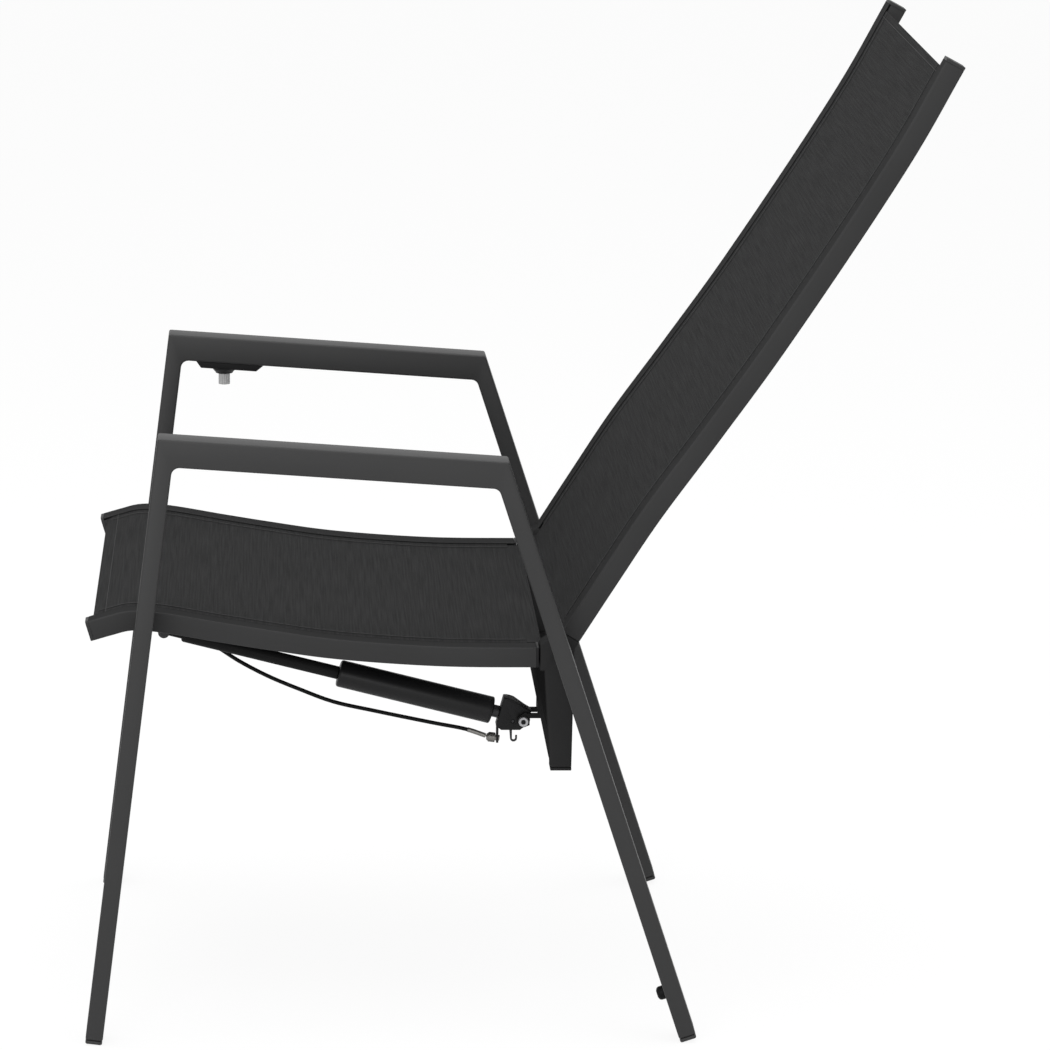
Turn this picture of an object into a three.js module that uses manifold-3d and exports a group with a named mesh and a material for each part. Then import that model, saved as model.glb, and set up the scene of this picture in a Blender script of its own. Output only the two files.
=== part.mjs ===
// Reclining sling patio chair: two splayed side frames, a seat and a back that are each a pair of
// grooved rails with a stretched sling, and a lockable gas spring under the seat, released by a
// button under one armrest. Millimetres, +Z up, the sitter faces -Y and +X is the sitter's left.
import * as THREE from 'three';
import { mergeVertices } from 'three/addons/utils/BufferGeometryUtils.js';
import Module from 'manifold-3d';

const wasm = await Module();
wasm.setup();

// Shared clearances
const fitGap = 0.3;
const runGap = 0.4;
const cutOverrun = 40;

// Overall layout across the chair
const overallWidth = 600;
const frameTubeWidth = 33;
const railGap = 15;
const railWidth = 25;
const railDepth = 22;
const tubeWall = 1.6;

// Side frame, drawn from the side: Y to the rear, Z up. A share is the sideways way per height
const armFrontTopY = -399.4;
const armFrontTopZ = 664;
const armFallShare = -0.0655;
const armDepth = 29.6;
const frontLegFootY = -470.8;
const frontLegLeanShare = 0.1211;
const rearLegFootY = 168.9;
const rearLegLeanShare = -0.332;
const legDepth = 18.6;
const innerFillet = 7;
const frameEdge = 2.2;

// Feet and the bumper that keeps stacked chairs apart
const footHeight = 7;
const footPlug = 16;
const footInset = 0.8;
const bumperDiameter = 15;
const bumperHeight = 8;
const bumperZ = 53;
const bumperStud = 5;

// Main pivot of the back, a little ahead of the rear leg's middle line
const pivotZ = 425;
const pivotAhead = 0.3;
const boltDiameter = 8;
const boltHeadDiameter = 14;
const boltHeadHeight = 5;
const nutDiameter = 13;
const nutHeight = 6;
const bushWall = 1.6;
const boltSinkDepth = 1;
const spacerDiameter = 18;

// Seat rails: stations of the centreline, as shares of the way from the front leg's foot to the
// pivot and as heights above or below the pivot
const seatDepthShares = [-0.0016, 0.0377, 0.0769, 0.13, 0.2709, 0.3697, 0.5146, 0.7431, 0.9256, 0.9454];
const seatRises = [20.9, 26.7, 31.6, 30.8, 19.2, 11.2, 0.9, -7.3, -8.4, -8.35];
const seatRailSteps = 18;

// Back rails: stations of the centreline behind and above the pivot
const backSetbacks = [9.2, 52.5, 91.4, 154.5, 221.5, 349.5, 399.3];
const backRises = [14.9, 84.5, 145.7, 234.4, 330.9, 534, 626.9];
const backRailSteps = 14;
const railCapThickness = 3.6;
const railPlugLength = 14;

// The groove in a rail that holds the sling's edge cord, measured in the rail's section
const grooveInset = 4.9;
const grooveDrop = 4.6;
const grooveRadius = 3.1;
const mouthDrop = 1.5;
const mouthDepth = 2.2;
const lipSetback = 4.2;
const lipStep = 0.5;
const railEdge = 2;

// Slings: the seat's cloth turns down at both ends, the back's reaches below the pivot
const slingThickness = 1.2;
const beadRadius = 2.5;
const slingEnd = 8;
const hemBarRadius = 7;
const hemBarSetback = 9;
const hemWrapDegrees = 118;
const hemLapDegrees = 6.9;
const rearFlapSetback = 3.7;
const rearFlapDrop = 16;
const rearFlapRadius = 4;
const backFlapDrop = 17;

// Crossbars between the rails
const crossbarDiameter = 19;
const seatFrontBarSetback = 21.33;
const seatRearBarAhead = 87.5;
const barSinkDepth = 2.6;
const backLowerBarRise = 95;
const backUpperBarRise = 505;

// Plate on the inner side of the seat rail that reaches back to the pivot
const hingePlateThickness = 5;
const hingePlateAhead = 52;
const hingePlateTopDrop = 2.3;
const hingePlateRadius = 12;

// Levers below the pivot and the bar between them
const leverHeadAhead = 23;
const leverHeadDrop = 23;
const leverTopAhead = 17.8;
const leverBottomAhead = 10.6;
const leverTopBehind = 13.5;
const leverBottomBehind = 12.1;
const leverDrop = 133.4;
const leverKnuckleDrop = 12.6;
const leverShoulderRise = 6.3;
const leverWall = 2;
const leverCapThickness = 3;
const leverCapPlug = 9;
const leverBarDepth = 22;
const leverBarHeight = 23;
const leverBarRise = 6.4;
const leverBarAhead = 11.3;

// Gas spring, from the front eye to the pin between the tabs of the lever bar
const springFrontAhead = 2.5;
const springFrontDrop = 71.3;
const springRearAhead = 15.9;
const springRearDrop = 17.8;
const eyeRadius = 5.8;
const eyeThickness = 12;
const earRadius = 6.4;
const pinDiameter = 6;
const pinHeadDiameter = 9;
const pinHeadHeight = 3;
const frontNeckDiameter = 8.4;
const frontNeckEnd = 21;
const neckShoulder = 2;
const extensionDiameter = 14.6;
const cylinderLength = 174.6;
const cylinderSetback = 38.5;
const cylinderDiameter = 30.5;
const cylinderWall = 1.5;
const cylinderRound = 3;
const glandThickness = 9;
const rodDiameter = 10;
const rodCollarDiameter = 14;
const rodThread = 9;
const headFaceSetback = 27.6;
const pistonDiameter = 26.4;
const pistonLength = 14;
const pistonDepth = 128;

// Release head on the rod's end, drawn about the rear pin
const headHalfWidth = 10;
const headPinClearance = 2.3;
const headEdge = 1.4;
const headTopAhead = 21.8;
const headTopRise = 24.8;
const headCrownAhead = 10.1;
const headCrownRise = 22.8;
const headTailBehind = 2;
const headTailRise = 14;
const headHeelBehind = 9.6;
const headHeelRise = 9.4;
const headEyeRadius = 8;
const headToeAhead = 3.3;
const headLowAhead = 24.3;
const headLowRise = -12;
const headShoulderAhead = 30.2;
const headShoulderRise = -7.2;
const headCornerRadius = 4;

// Rear pin with a socket in its head, and the tabs of the lever bar that hold it
const rearPinDiameter = 6;
const rearPinHead = 10.8;
const rearPinHeadHeight = 4.2;
const rearPinSocket = 5;
const tabThickness = 4;
const tabRise = 4;
const rearTabRadius = 7.2;

// Release lever in a slot of the head, with a hook below that holds the cable's end
const leverPinAhead = 11.4;
const leverPinRise = -1.6;
const leverPinDiameter = 4;
const releasePlate = 2.4;
const slotHalfWidth = 1.5;
const slotAhead = 9;
const slotBehind = 5.5;
const releaseBossRadius = 4.4;
const hookAhead = 2.5;
const hookWall = 2.2;
const hookRadius = 4;
const hookDrop = 26;
const hookLip = 3.4;

// Cable, its adjuster and its grommet
const cableDiameter = 4.6;
const adjusterAhead = 33.4;
const adjusterDrop = 21;
const adjusterLift = 1.9;
const adjusterSide = 6;
const adjusterLength = 14.6;
const adjusterDiameter = 11;
const adjusterNeck = 5;
const adjusterNeckRadius = 3.3;
const adjusterBore = 2.8;
const adjusterShelf = 2.5;
const grommetDiameter = 10;
const grommetLip = 14;
const grommetLength = 5;
const grommetDrop = 37.6;
const grommetRunIn = 17;
const grommetRunOut = 7.5;
const cableBendSide = 27;
const cableBendSetback = 46.6;
const cableBendDrop = 19;
const cableSteps = 78;

// The hanging cable between adjuster and bend: shares of the way, how far it sags and to the side
const hangShares = [0.0658, 0.1894, 0.3973, 0.5474, 0.6653, 0.7796, 0.8828, 0.961];
const hangSags = [0, 5.2, 12.4, 17.2, 16.6, 14.4, 8.7, 1.7];
const hangSides = [2, 4, 4, 6, 12, 18, 23, 28];

// From the bend to the leg on the sitter's right: shares of half the width, then setbacks and lifts
const crossShares = [0.1423, 0.2247, 0.3745, 0.5993, 0.8052, 0.8839];
const crossSetbacks = [24, 10, 4, 0, -8, -18];
const crossLifts = [-40, -14, 4, 10, 6, 2];

// Inside the leg: shares of the way up from the grommet to the arm
const legShares = [0.03, 0.0997, 0.2428, 0.5768, 0.915];

// Inside the arm: distances ahead of the place where the cable drops, and below the arm's middle
const armAheads = [77, 64, 44, 18, 3.4];
const armDrops = [6, 0.7, 1.4, 3.7, 6.8];
const armExits = [2, -3];

// Release housing and button under the armrest on the sitter's right
const housingSetback = 102.5;
const housingLength = 77.8;
const housingHalfWidth = 13;
const housingDepth = 7.8;
const housingEdgeShare = 0.13;
const housingNose = 5.5;
const housingTail = 8.5;
const housingWall = 2;
const bossDepth = 13.7;
const bossBaseRadius = 12.6;
const bossRadius = 10;
const buttonSetback = 134.8;
const buttonDiameter = 13.5;
const buttonProud = 13.2;
const buttonFlange = 2;
const buttonRibs = 18;
const buttonRibDepth = 0.7;
const cableDropSetback = 158.8;

// Facets
const roundSides = 20;
const boltSides = 16;
const bevelSteps = 2;

// Values that follow from the sizes above
const frameOuterX = overallWidth / 2;
const frameInnerX = frameOuterX - frameTubeWidth;
const frameMidX = frameOuterX - frameTubeWidth / 2;
const railOuterX = frameInnerX - railGap;
const railInnerX = railOuterX - railWidth;
const railMidX = railOuterX - railWidth / 2;
const grooveX = railInnerX + grooveInset;
const slingTop = railDepth / 2 - mouthDrop - (grooveRadius - beadRadius);
const grooveLocalY = railDepth / 2 - grooveDrop;
const plateHighX = railInnerX - fitGap;
const plateLowX = plateHighX - hingePlateThickness;
const flapHalfX = plateLowX - 3 * fitGap;
const tabLowX = headHalfWidth + 3 * fitGap;
const tabHighX = tabLowX + tabThickness;
const pivotY = rearLegFootY + rearLegLeanShare * pivotZ - pivotAhead;
const seatRailLine = seatDepthShares.map((share, i) => [
  frontLegFootY + share * (pivotY - frontLegFootY), pivotZ + seatRises[i]]);
const backRailLine = backSetbacks.map((setback, i) => [pivotY + setback, pivotZ + backRises[i]]);
const hemBarY = seatRailLine[0][0] + hemBarSetback;
const seatFrontBarY = frontLegFootY + frontLegLeanShare * pivotZ + seatFrontBarSetback;
const seatRearBarY = pivotY - seatRearBarAhead;
const leverBottomZ = pivotZ - leverDrop;
const leverBarBottomZ = leverBottomZ + leverBarRise;
const leverBarFrontY = pivotY - leverBarAhead;
const springRearY = leverBarFrontY - springRearAhead;
const springRearZ = leverBarBottomZ - springRearDrop;
const leverPinY = springRearY - leverPinAhead;
const leverPinZ = springRearZ + leverPinRise;
const adjusterY = springRearY - adjusterAhead;
const adjusterZ = springRearZ - adjusterDrop;
const housingFrontY = frontLegFootY + housingSetback;
const housingRearY = housingFrontY + housingLength;
const housingEdge = housingDepth * housingEdgeShare;
const buttonY = frontLegFootY + buttonSetback;
const cableDropY = frontLegFootY + cableDropSetback;

// Colours of the finishes
const finishes = {
  frame: { color: 0x45474a, roughness: 0.5, metalness: 0.3 },
  plastic: { color: 0x1d1e20, roughness: 0.6, metalness: 0 },
  sling: { color: 0x38393b, roughness: 0.9, metalness: 0 },
  spring: { color: 0x1b1c1e, roughness: 0.4, metalness: 0.2 },
  steel: { color: 0xb4b6b8, roughness: 0.3, metalness: 0.9 },
  rod: { color: 0x3a3b3d, roughness: 0.3, metalness: 0.8 },
};

// A closed three.js geometry as a solid that can be joined and cut
function solid(geometry) {
  const bare = geometry.index ? geometry.toNonIndexed() : geometry.clone();
  bare.deleteAttribute('normal');
  bare.deleteAttribute('uv');
  const merged = mergeVertices(bare, 1e-4);
  return new wasm.Manifold(new wasm.Mesh({
    numProp: 3,
    vertProperties: new Float32Array(merged.attributes.position.array),
    triVerts: new Uint32Array(merged.index.array),
  }));
}

// A solid back as a three.js geometry
function geometryOf(body) {
  const mesh = body.getMesh();
  const geometry = new THREE.BufferGeometry();
  const places = new Float32Array(mesh.numVert * 3);
  for (let i = 0; i < mesh.numVert; i += 1) {
    for (let k = 0; k < 3; k += 1) places[i * 3 + k] = mesh.vertProperties[i * mesh.numProp + k];
  }
  geometry.setAttribute('position', new THREE.BufferAttribute(places, 3));
  geometry.setIndex(new THREE.BufferAttribute(new Uint32Array(mesh.triVerts), 1));
  geometry.computeVertexNormals();
  return geometry;
}

// A closed outline from corner points
function outline(points) {
  return new THREE.Shape(points.map(([u, v]) => new THREE.Vector2(u, v)));
}

// A side outline (Y, Z) pushed across the chair from X low to X high, its edges rounded
function acrossChair(shape, lowX, highX, edge = 0, curveSegments = 6) {
  const geometry = new THREE.ExtrudeGeometry(shape, {
    depth: highX - lowX - 2 * edge,
    bevelEnabled: edge > 0,
    bevelThickness: edge,
    bevelSize: edge,
    bevelOffset: -edge,
    bevelSegments: bevelSteps,
    curveSegments,
  });
  geometry.translate(0, 0, lowX + edge);
  const turn = new THREE.Matrix4().makeBasis(
    new THREE.Vector3(0, 1, 0), new THREE.Vector3(0, 0, 1), new THREE.Vector3(1, 0, 0));
  geometry.applyMatrix4(turn);
  return geometry;
}

// A round bar across the chair at (y, z)
function roundAcross(diameter, lowX, highX, y, z, sides = roundSides) {
  const geometry = new THREE.CylinderGeometry(diameter / 2, diameter / 2, highX - lowX, sides);
  geometry.rotateZ(-Math.PI / 2);
  geometry.translate((lowX + highX) / 2, y, z);
  return geometry;
}

// A box between two corners
function boxBetween(lowX, highX, lowY, highY, lowZ, highZ) {
  const geometry = new THREE.BoxGeometry(highX - lowX, highY - lowY, highZ - lowZ);
  geometry.translate((lowX + highX) / 2, (lowY + highY) / 2, (lowZ + highZ) / 2);
  return geometry;
}

function cut(body, ...tools) {
  return tools.reduce((left, tool) => left.subtract(solid(tool)), body);
}

function joined(...geometries) {
  return geometries.map(solid).reduce((left, right) => left.add(right));
}

// A rectangle with rounded corners, centred
function roundedRect(width, height, radius, corner = 2) {
  const points = [];
  const corners = [[1, 1], [-1, 1], [-1, -1], [1, -1]];
  corners.forEach(([sx, sy], quarter) => {
    for (let i = 0; i <= corner; i += 1) {
      const angle = (quarter + i / corner) * (Math.PI / 2);
      points.push([
        sx * (width / 2 - radius) + radius * Math.cos(angle),
        sy * (height / 2 - radius) + radius * Math.sin(angle)]);
    }
  });
  return points;
}

const chair = new THREE.Group();

function place(name, geometry, finish) {
  const mesh = new THREE.Mesh(geometry, new THREE.MeshStandardMaterial(finishes[finish]));
  mesh.name = name;
  chair.add(mesh);
  return mesh;
}

// Both sides of the chair: a piece drawn at +X and its mirror image at -X
const sides = [['left', 1], ['right', -1]];

function mirrored(geometry, side) {
  if (side > 0) return geometry;
  const copy = geometry.index ? geometry.toNonIndexed() : geometry.clone();
  const position = copy.attributes.position;
  for (let i = 0; i < position.count; i += 3) {
    const a = new THREE.Vector3().fromBufferAttribute(position, i);
    const b = new THREE.Vector3().fromBufferAttribute(position, i + 1);
    const c = new THREE.Vector3().fromBufferAttribute(position, i + 2);
    [a, c, b].forEach((point, k) => position.setXYZ(i + k, -point.x, point.y, point.z));
  }
  copy.deleteAttribute('normal');
  copy.deleteAttribute('uv');
  const whole = mergeVertices(copy, 1e-4);
  whole.computeVertexNormals();
  return whole;
}

function placePair(name, body, finish) {
  const geometry = geometryOf(body);
  sides.forEach(([word, side]) => place(`${name}_${word}`, mirrored(geometry, side), finish));
}

// Straight lines of the side frame, each given by a point and its direction
function legLine(footY, slope, offset) {
  const length = Math.hypot(slope, 1);
  return { y: footY + offset * length, z: 0, dy: slope, dz: 1 };
}

function armLine(offset) {
  const length = Math.hypot(1, armFallShare);
  return { y: armFrontTopY, z: armFrontTopZ - offset * length, dy: 1, dz: armFallShare };
}

function crossing(a, b) {
  const det = a.dy * b.dz - a.dz * b.dy;
  const t = ((b.y - a.y) * b.dz - (b.z - a.z) * b.dy) / det;
  return [a.y + a.dy * t, a.z + a.dz * t];
}

function pointAt(line, z) {
  return [line.y + ((z - line.z) * line.dy) / line.dz, z];
}

// The arch of front leg, arm and rear leg, drawn a given inset inside its true outline
function archShape(inset) {
  const frontOuter = legLine(frontLegFootY, frontLegLeanShare, -legDepth / 2 + inset);
  const frontInner = legLine(frontLegFootY, frontLegLeanShare, legDepth / 2 - inset);
  const rearOuter = legLine(rearLegFootY, rearLegLeanShare, legDepth / 2 - inset);
  const rearInner = legLine(rearLegFootY, rearLegLeanShare, -legDepth / 2 + inset);
  const armTop = armLine(inset);
  const armUnder = armLine(armDepth - inset);
  const low = -cutOverrun;
  const shape = new THREE.Shape();
  shape.moveTo(...pointAt(frontOuter, low));
  shape.lineTo(...pointAt(frontInner, low));
  const frontCorner = crossing(frontInner, armUnder);
  const rearCorner = crossing(armUnder, rearInner);
  filletCorner(shape, pointAt(frontInner, low), frontCorner, rearCorner, innerFillet + inset);
  filletCorner(shape, frontCorner, rearCorner, pointAt(rearInner, low), innerFillet + inset);
  shape.lineTo(...pointAt(rearInner, low));
  shape.lineTo(...pointAt(rearOuter, low));
  shape.lineTo(...crossing(rearOuter, armTop));
  shape.lineTo(...crossing(frontOuter, armTop));
  shape.closePath();
  return shape;
}

// Rounds the corner of an outline between the points before and after it
function filletCorner(shape, before, corner, after, radius) {
  const toward = ([y, z]) => {
    const length = Math.hypot(y - corner[0], z - corner[1]);
    const way = radius / length;
    return [corner[0] + (y - corner[0]) * way, corner[1] + (z - corner[1]) * way];
  };
  shape.lineTo(...toward(before));
  shape.quadraticCurveTo(...corner, ...toward(after));
}

// A large wedge that keeps one stretch of the arch: everything on one side of a mitre
function mitreKeeper(lowCorner, highCorner, keepSide) {
  const dy = highCorner[0] - lowCorner[0];
  const dz = highCorner[1] - lowCorner[1];
  const length = Math.hypot(dy, dz);
  const alongY = dy / length;
  const alongZ = dz / length;
  const acrossY = keepSide * alongZ;
  const acrossZ = -keepSide * alongY;
  const reach = overallWidth * 2;
  const start = fitGap / 2;
  const near = [lowCorner[0] + acrossY * start, lowCorner[1] + acrossZ * start];
  const far = [near[0] + acrossY * reach, near[1] + acrossZ * reach];
  return acrossChair(outline([
    [near[0] - alongY * reach, near[1] - alongZ * reach],
    [near[0] + alongY * reach, near[1] + alongZ * reach],
    [far[0] + alongY * reach, far[1] + alongZ * reach],
    [far[0] - alongY * reach, far[1] - alongZ * reach],
  ]), frameInnerX - cutOverrun, frameOuterX + cutOverrun);
}

// Holes through the inner wall of a leg, where a bolt or the cable passes
function legHole(diameter, y, z) {
  return roundAcross(diameter, frameInnerX - cutOverrun, frameMidX, y, z, boltSides);
}

function legCentreAt(footY, slope, z) {
  return footY + slope * z;
}

function buildSideFrames() {
  const arch = solid(acrossChair(archShape(0), frameInnerX, frameOuterX, frameEdge));
  const bore = solid(acrossChair(archShape(tubeWall), frameInnerX + tubeWall, frameOuterX - tubeWall));
  const hollow = cut(arch.subtract(bore), boxBetween(
    frameInnerX - cutOverrun, frameOuterX + cutOverrun,
    frontLegFootY - overallWidth, rearLegFootY + overallWidth, -cutOverrun * 2, footHeight));
  const frontHigh = crossing(legLine(frontLegFootY, frontLegLeanShare, -legDepth / 2), armLine(0));
  const frontLow = crossing(legLine(frontLegFootY, frontLegLeanShare, legDepth / 2), armLine(armDepth));
  const rearHigh = crossing(legLine(rearLegFootY, rearLegLeanShare, legDepth / 2), armLine(0));
  const rearLow = crossing(legLine(rearLegFootY, rearLegLeanShare, -legDepth / 2), armLine(armDepth));
  const keep = (low, high, side) => solid(mitreKeeper(low, high, side));
  const arm = hollow.intersect(keep(frontLow, frontHigh, 1)).intersect(keep(rearLow, rearHigh, -1));
  const frontLeg = hollow.intersect(keep(frontLow, frontHigh, -1));
  const rearLeg = hollow.intersect(keep(rearLow, rearHigh, 1));
  const boltHole = boltDiameter + 2 * fitGap;
  const frontDrilled = cut(frontLeg, legHole(boltHole, frontBoltY, frontBoltZ));
  const cableDrilled = cut(
    frontDrilled, mirrored(legHole(grommetDiameter + 2 * fitGap, grommetY, grommetZ), 1));
  const rearDrilled = cut(rearLeg, legHole(boltHole, pivotY, pivotZ), bumperHole());
  place('front_leg_left', geometryOf(frontDrilled), 'frame');
  place('front_leg_right', mirrored(geometryOf(cableDrilled), -1), 'frame');
  placePair('rear_leg', rearDrilled, 'frame');
  place('armrest_left', geometryOf(arm), 'frame');
  place('armrest_right', mirrored(geometryOf(cut(arm, cableHoleInArm())), -1), 'frame');
}

// Where the cable comes down out of the armrest into the release housing
function cableHoleInArm() {
  const geometry = new THREE.CylinderGeometry(
    cableDiameter / 2 + 4 * fitGap, cableDiameter / 2 + 4 * fitGap, armDepth, boltSides);
  geometry.rotateX(Math.PI / 2);
  const under = armUnderZ(cableDropY);
  geometry.translate(frameMidX, cableDropY, under);
  return geometry;
}

function armUnderZ(y) {
  const line = armLine(armDepth);
  return line.z + ((y - line.y) * line.dz) / line.dy;
}

// Plastic foot: a glide as wide as the tube and a plug inside it
function buildFoot(name, footY, slope) {
  const topZ = footHeight - fitGap;
  const plugTop = footHeight + footPlug;
  const at = (z, half) => [footY + slope * z + half * Math.hypot(slope, 1), z];
  const half = legDepth / 2 - footInset / 2;
  const glide = acrossChair(outline([
    at(0, frameEdge - half), at(0, half - frameEdge), at(frameEdge, half), at(topZ, legDepth / 2),
    at(topZ, -legDepth / 2), at(frameEdge, -half),
  ]), frameInnerX + footInset / 2, frameOuterX - footInset / 2);
  const plugHalf = legDepth / 2 - tubeWall - fitGap;
  const plug = acrossChair(outline([
    at(topZ - fitGap, -plugHalf), at(topZ - fitGap, plugHalf), at(plugTop, plugHalf), at(plugTop, -plugHalf),
  ]), frameInnerX + tubeWall + fitGap, frameOuterX - tubeWall - fitGap);
  placePair(name, joined(glide, plug), 'plastic');
}

// The face of the rear leg that looks forward, at a given height
function rearLegFrontFace(z) {
  return pointAt(legLine(rearLegFootY, rearLegLeanShare, -legDepth / 2), z)[0];
}

function bumperAxis(geometry) {
  geometry.rotateX(Math.PI - Math.atan(rearLegLeanShare));
  geometry.translate(frameMidX, rearLegFrontFace(bumperZ), bumperZ);
  return geometry;
}

function bumperHole() {
  const radius = bumperStud / 2 + fitGap;
  return bumperAxis(new THREE.CylinderGeometry(radius, radius, tubeWall * 4, boltSides));
}

// Rubber button with a stud through the leg's front wall
function buildBumpers() {
  const radius = bumperDiameter / 2;
  const profile = [
    [0, -bumperStud], [bumperStud / 2, -bumperStud], [bumperStud / 2, fitGap], [radius, fitGap],
    [radius, bumperHeight * 0.55], [radius * 0.8, bumperHeight * 0.9], [radius * 0.45, bumperHeight],
    [0, bumperHeight]];
  const lathe = new THREE.LatheGeometry(profile.map(([r, h]) => new THREE.Vector2(r, h)), roundSides);
  placePair('stack_bumper', solid(bumperAxis(lathe)), 'plastic');
}

// Section of a sling rail. Local +u is towards the other rail, +v is the side of the sling
function railSection() {
  const halfWidth = railWidth / 2;
  const halfDepth = railDepth / 2;
  const centreU = halfWidth - grooveInset;
  const mouthTop = halfDepth - mouthDrop;
  const mouthLow = mouthTop - mouthDepth;
  const startAngle = Math.asin((mouthLow - grooveLocalY) / grooveRadius);
  const section = new THREE.Shape();
  section.moveTo(-halfWidth + railEdge, -halfDepth);
  section.lineTo(halfWidth - railEdge, -halfDepth);
  section.lineTo(halfWidth, -halfDepth + railEdge);
  section.lineTo(halfWidth, mouthLow);
  section.lineTo(centreU + grooveRadius * Math.cos(startAngle), mouthLow);
  const bottom = 8;
  for (let i = 1; i < bottom; i += 1) {
    const angle = startAngle - (i / bottom) * (startAngle + (3 * Math.PI) / 2);
    section.lineTo(centreU + grooveRadius * Math.cos(angle), grooveLocalY + grooveRadius * Math.sin(angle));
  }
  section.lineTo(centreU, mouthTop);
  section.lineTo(halfWidth - lipStep, mouthTop);
  section.lineTo(halfWidth - lipStep * 2, halfDepth - lipStep * 2);
  section.lineTo(halfWidth - lipSetback, halfDepth);
  section.lineTo(-halfWidth + railEdge, halfDepth);
  section.lineTo(-halfWidth, halfDepth - railEdge);
  section.lineTo(-halfWidth, -halfDepth + railEdge);
  section.closePath();
  section.holes.push(new THREE.Path(railCavity(0).map(([u, v]) => new THREE.Vector2(u, v))));
  return section;
}

// The hollow of a rail beside and below its groove, drawn with an extra clearance
function railCavity(gap) {
  const left = -railWidth / 2 + tubeWall + gap;
  const right = railWidth / 2 - tubeWall - gap;
  const low = -railDepth / 2 + tubeWall + gap;
  const high = railDepth / 2 - tubeWall - gap;
  const step = railWidth / 2 - grooveInset - grooveRadius - tubeWall - gap;
  const ledge = grooveLocalY - grooveRadius - tubeWall - gap;
  return [[left, low], [right, low], [right, ledge], [step, ledge], [step, high], [left, high]];
}

// The full outline of a rail with its groove filled, for end caps
function railOutline() {
  const halfWidth = railWidth / 2;
  const halfDepth = railDepth / 2;
  return outline([
    [-halfWidth + railEdge, -halfDepth], [halfWidth - railEdge, -halfDepth],
    [halfWidth, -halfDepth + railEdge], [halfWidth, halfDepth - mouthDrop - mouthDepth],
    [halfWidth - lipStep * 2, halfDepth - lipStep * 2], [halfWidth - lipSetback, halfDepth],
    [-halfWidth + railEdge, halfDepth], [-halfWidth, halfDepth - railEdge],
    [-halfWidth, -halfDepth + railEdge]]);
}

function curveAt(x, stations) {
  return new THREE.CatmullRomCurve3(
    stations.map(([y, z]) => new THREE.Vector3(x, y, z)), false, 'centripetal');
}

const seatCurve = curveAt(railMidX, seatRailLine);
const backCurve = curveAt(railMidX, backRailLine);
const frontBoltZ = seatLineZ(
  legCentreAt(frontLegFootY, frontLegLeanShare, seatRailLine[3][1])) - boltSinkDepth;
const frontBoltY = legCentreAt(frontLegFootY, frontLegLeanShare, frontBoltZ);
const grommetZ = frontBoltZ - grommetDrop;
const grommetY = legCentreAt(frontLegFootY, frontLegLeanShare, grommetZ);

function sweep(shape, curve, steps) {
  return new THREE.ExtrudeGeometry(shape, { steps, extrudePath: curve, curveSegments: 4 });
}

// A straight piece that carries on from a rail's end. Distances run along the rail's direction
function onRailEnd(shape, curve, end, from, to) {
  const tip = curve.getPoint(end);
  const way = curve.getTangent(end);
  const line = new THREE.LineCurve3(
    tip.clone().addScaledVector(way, from), tip.clone().addScaledVector(way, to));
  return new THREE.ExtrudeGeometry(shape, { steps: 1, extrudePath: line });
}

function buildRails() {
  const seat = solid(sweep(railSection(), seatCurve, seatRailSteps));
  const back = solid(sweep(railSection(), backCurve, backRailSteps));
  const plateBolt = roundAcross(
    boltDiameter + 2 * fitGap, railInnerX - cutOverrun, railOuterX + cutOverrun,
    frontBoltY, frontBoltZ, boltSides);
  placePair('seat_rail', cut(seat, plateBolt), 'frame');
  placePair('back_rail', back, 'frame');
  const plug = outline(railCavity(fitGap));
  placePair('seat_rail_cap', joined(
    onRailEnd(railOutline(), seatCurve, 0, -railCapThickness, -fitGap),
    onRailEnd(plug, seatCurve, 0, -fitGap * 2, railPlugLength)), 'plastic');
  placePair('back_rail_cap', joined(
    onRailEnd(railOutline(), backCurve, 1, fitGap, railCapThickness),
    onRailEnd(plug, backCurve, 1, -railPlugLength, fitGap * 2)), 'plastic');
}

// Section of a sling: a flat cloth between two round edge cords
function slingSection() {
  const half = grooveX;
  const centreV = grooveLocalY;
  const low = slingTop - slingThickness;
  const count = 8;
  const points = [];
  const sweepAngle = 1.5 * Math.PI + Math.asin((low - centreV) / beadRadius);
  for (let i = 0; i <= count; i += 1) {
    const angle = Math.PI / 2 - (i / count) * sweepAngle;
    points.push([half + beadRadius * Math.cos(angle), centreV + beadRadius * Math.sin(angle)]);
  }
  const mirror = points.slice().reverse().map(([u, v]) => [-u, v]);
  return outline([...points, ...mirror]);
}

// A block across the chair that trims a sling where its hem is. Distances run along the rail
function hemTrim(curve, end, from, to) {
  const block = outline(roundedRect(overallWidth, railDepth * 2, railEdge, 1));
  return onRailEnd(block, curve, end, from, to);
}

const seatTipTilt = Math.atan2(
  seatRailLine[1][1] - seatRailLine[0][1], seatRailLine[1][0] - seatRailLine[0][0]);

// The seat sling turns down over the front bar: a ring sector, as wide as the gap between the rails
function hemWrap() {
  const inner = hemBarRadius + fitGap;
  const outer = inner + slingThickness;
  const start = Math.PI / 2 + seatTipTilt - THREE.MathUtils.degToRad(hemLapDegrees);
  const end = start + THREE.MathUtils.degToRad(hemWrapDegrees);
  const shape = new THREE.Shape();
  shape.absarc(hemBarY, hemBarZ(), outer, start, end, false);
  shape.absarc(hemBarY, hemBarZ(), inner, end, start, true);
  shape.closePath();
  return acrossChair(shape, -railInnerX + fitGap * 2, railInnerX - fitGap * 2, 0, 8);
}

function seatLineZ(y) {
  let best = seatCurve.getPoint(0);
  const samples = 400;
  for (let i = 0; i <= samples; i += 1) {
    const point = seatCurve.getPoint(i / samples);
    if (Math.abs(point.y - y) < Math.abs(best.y - y)) best = point;
  }
  return best.z;
}

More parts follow.
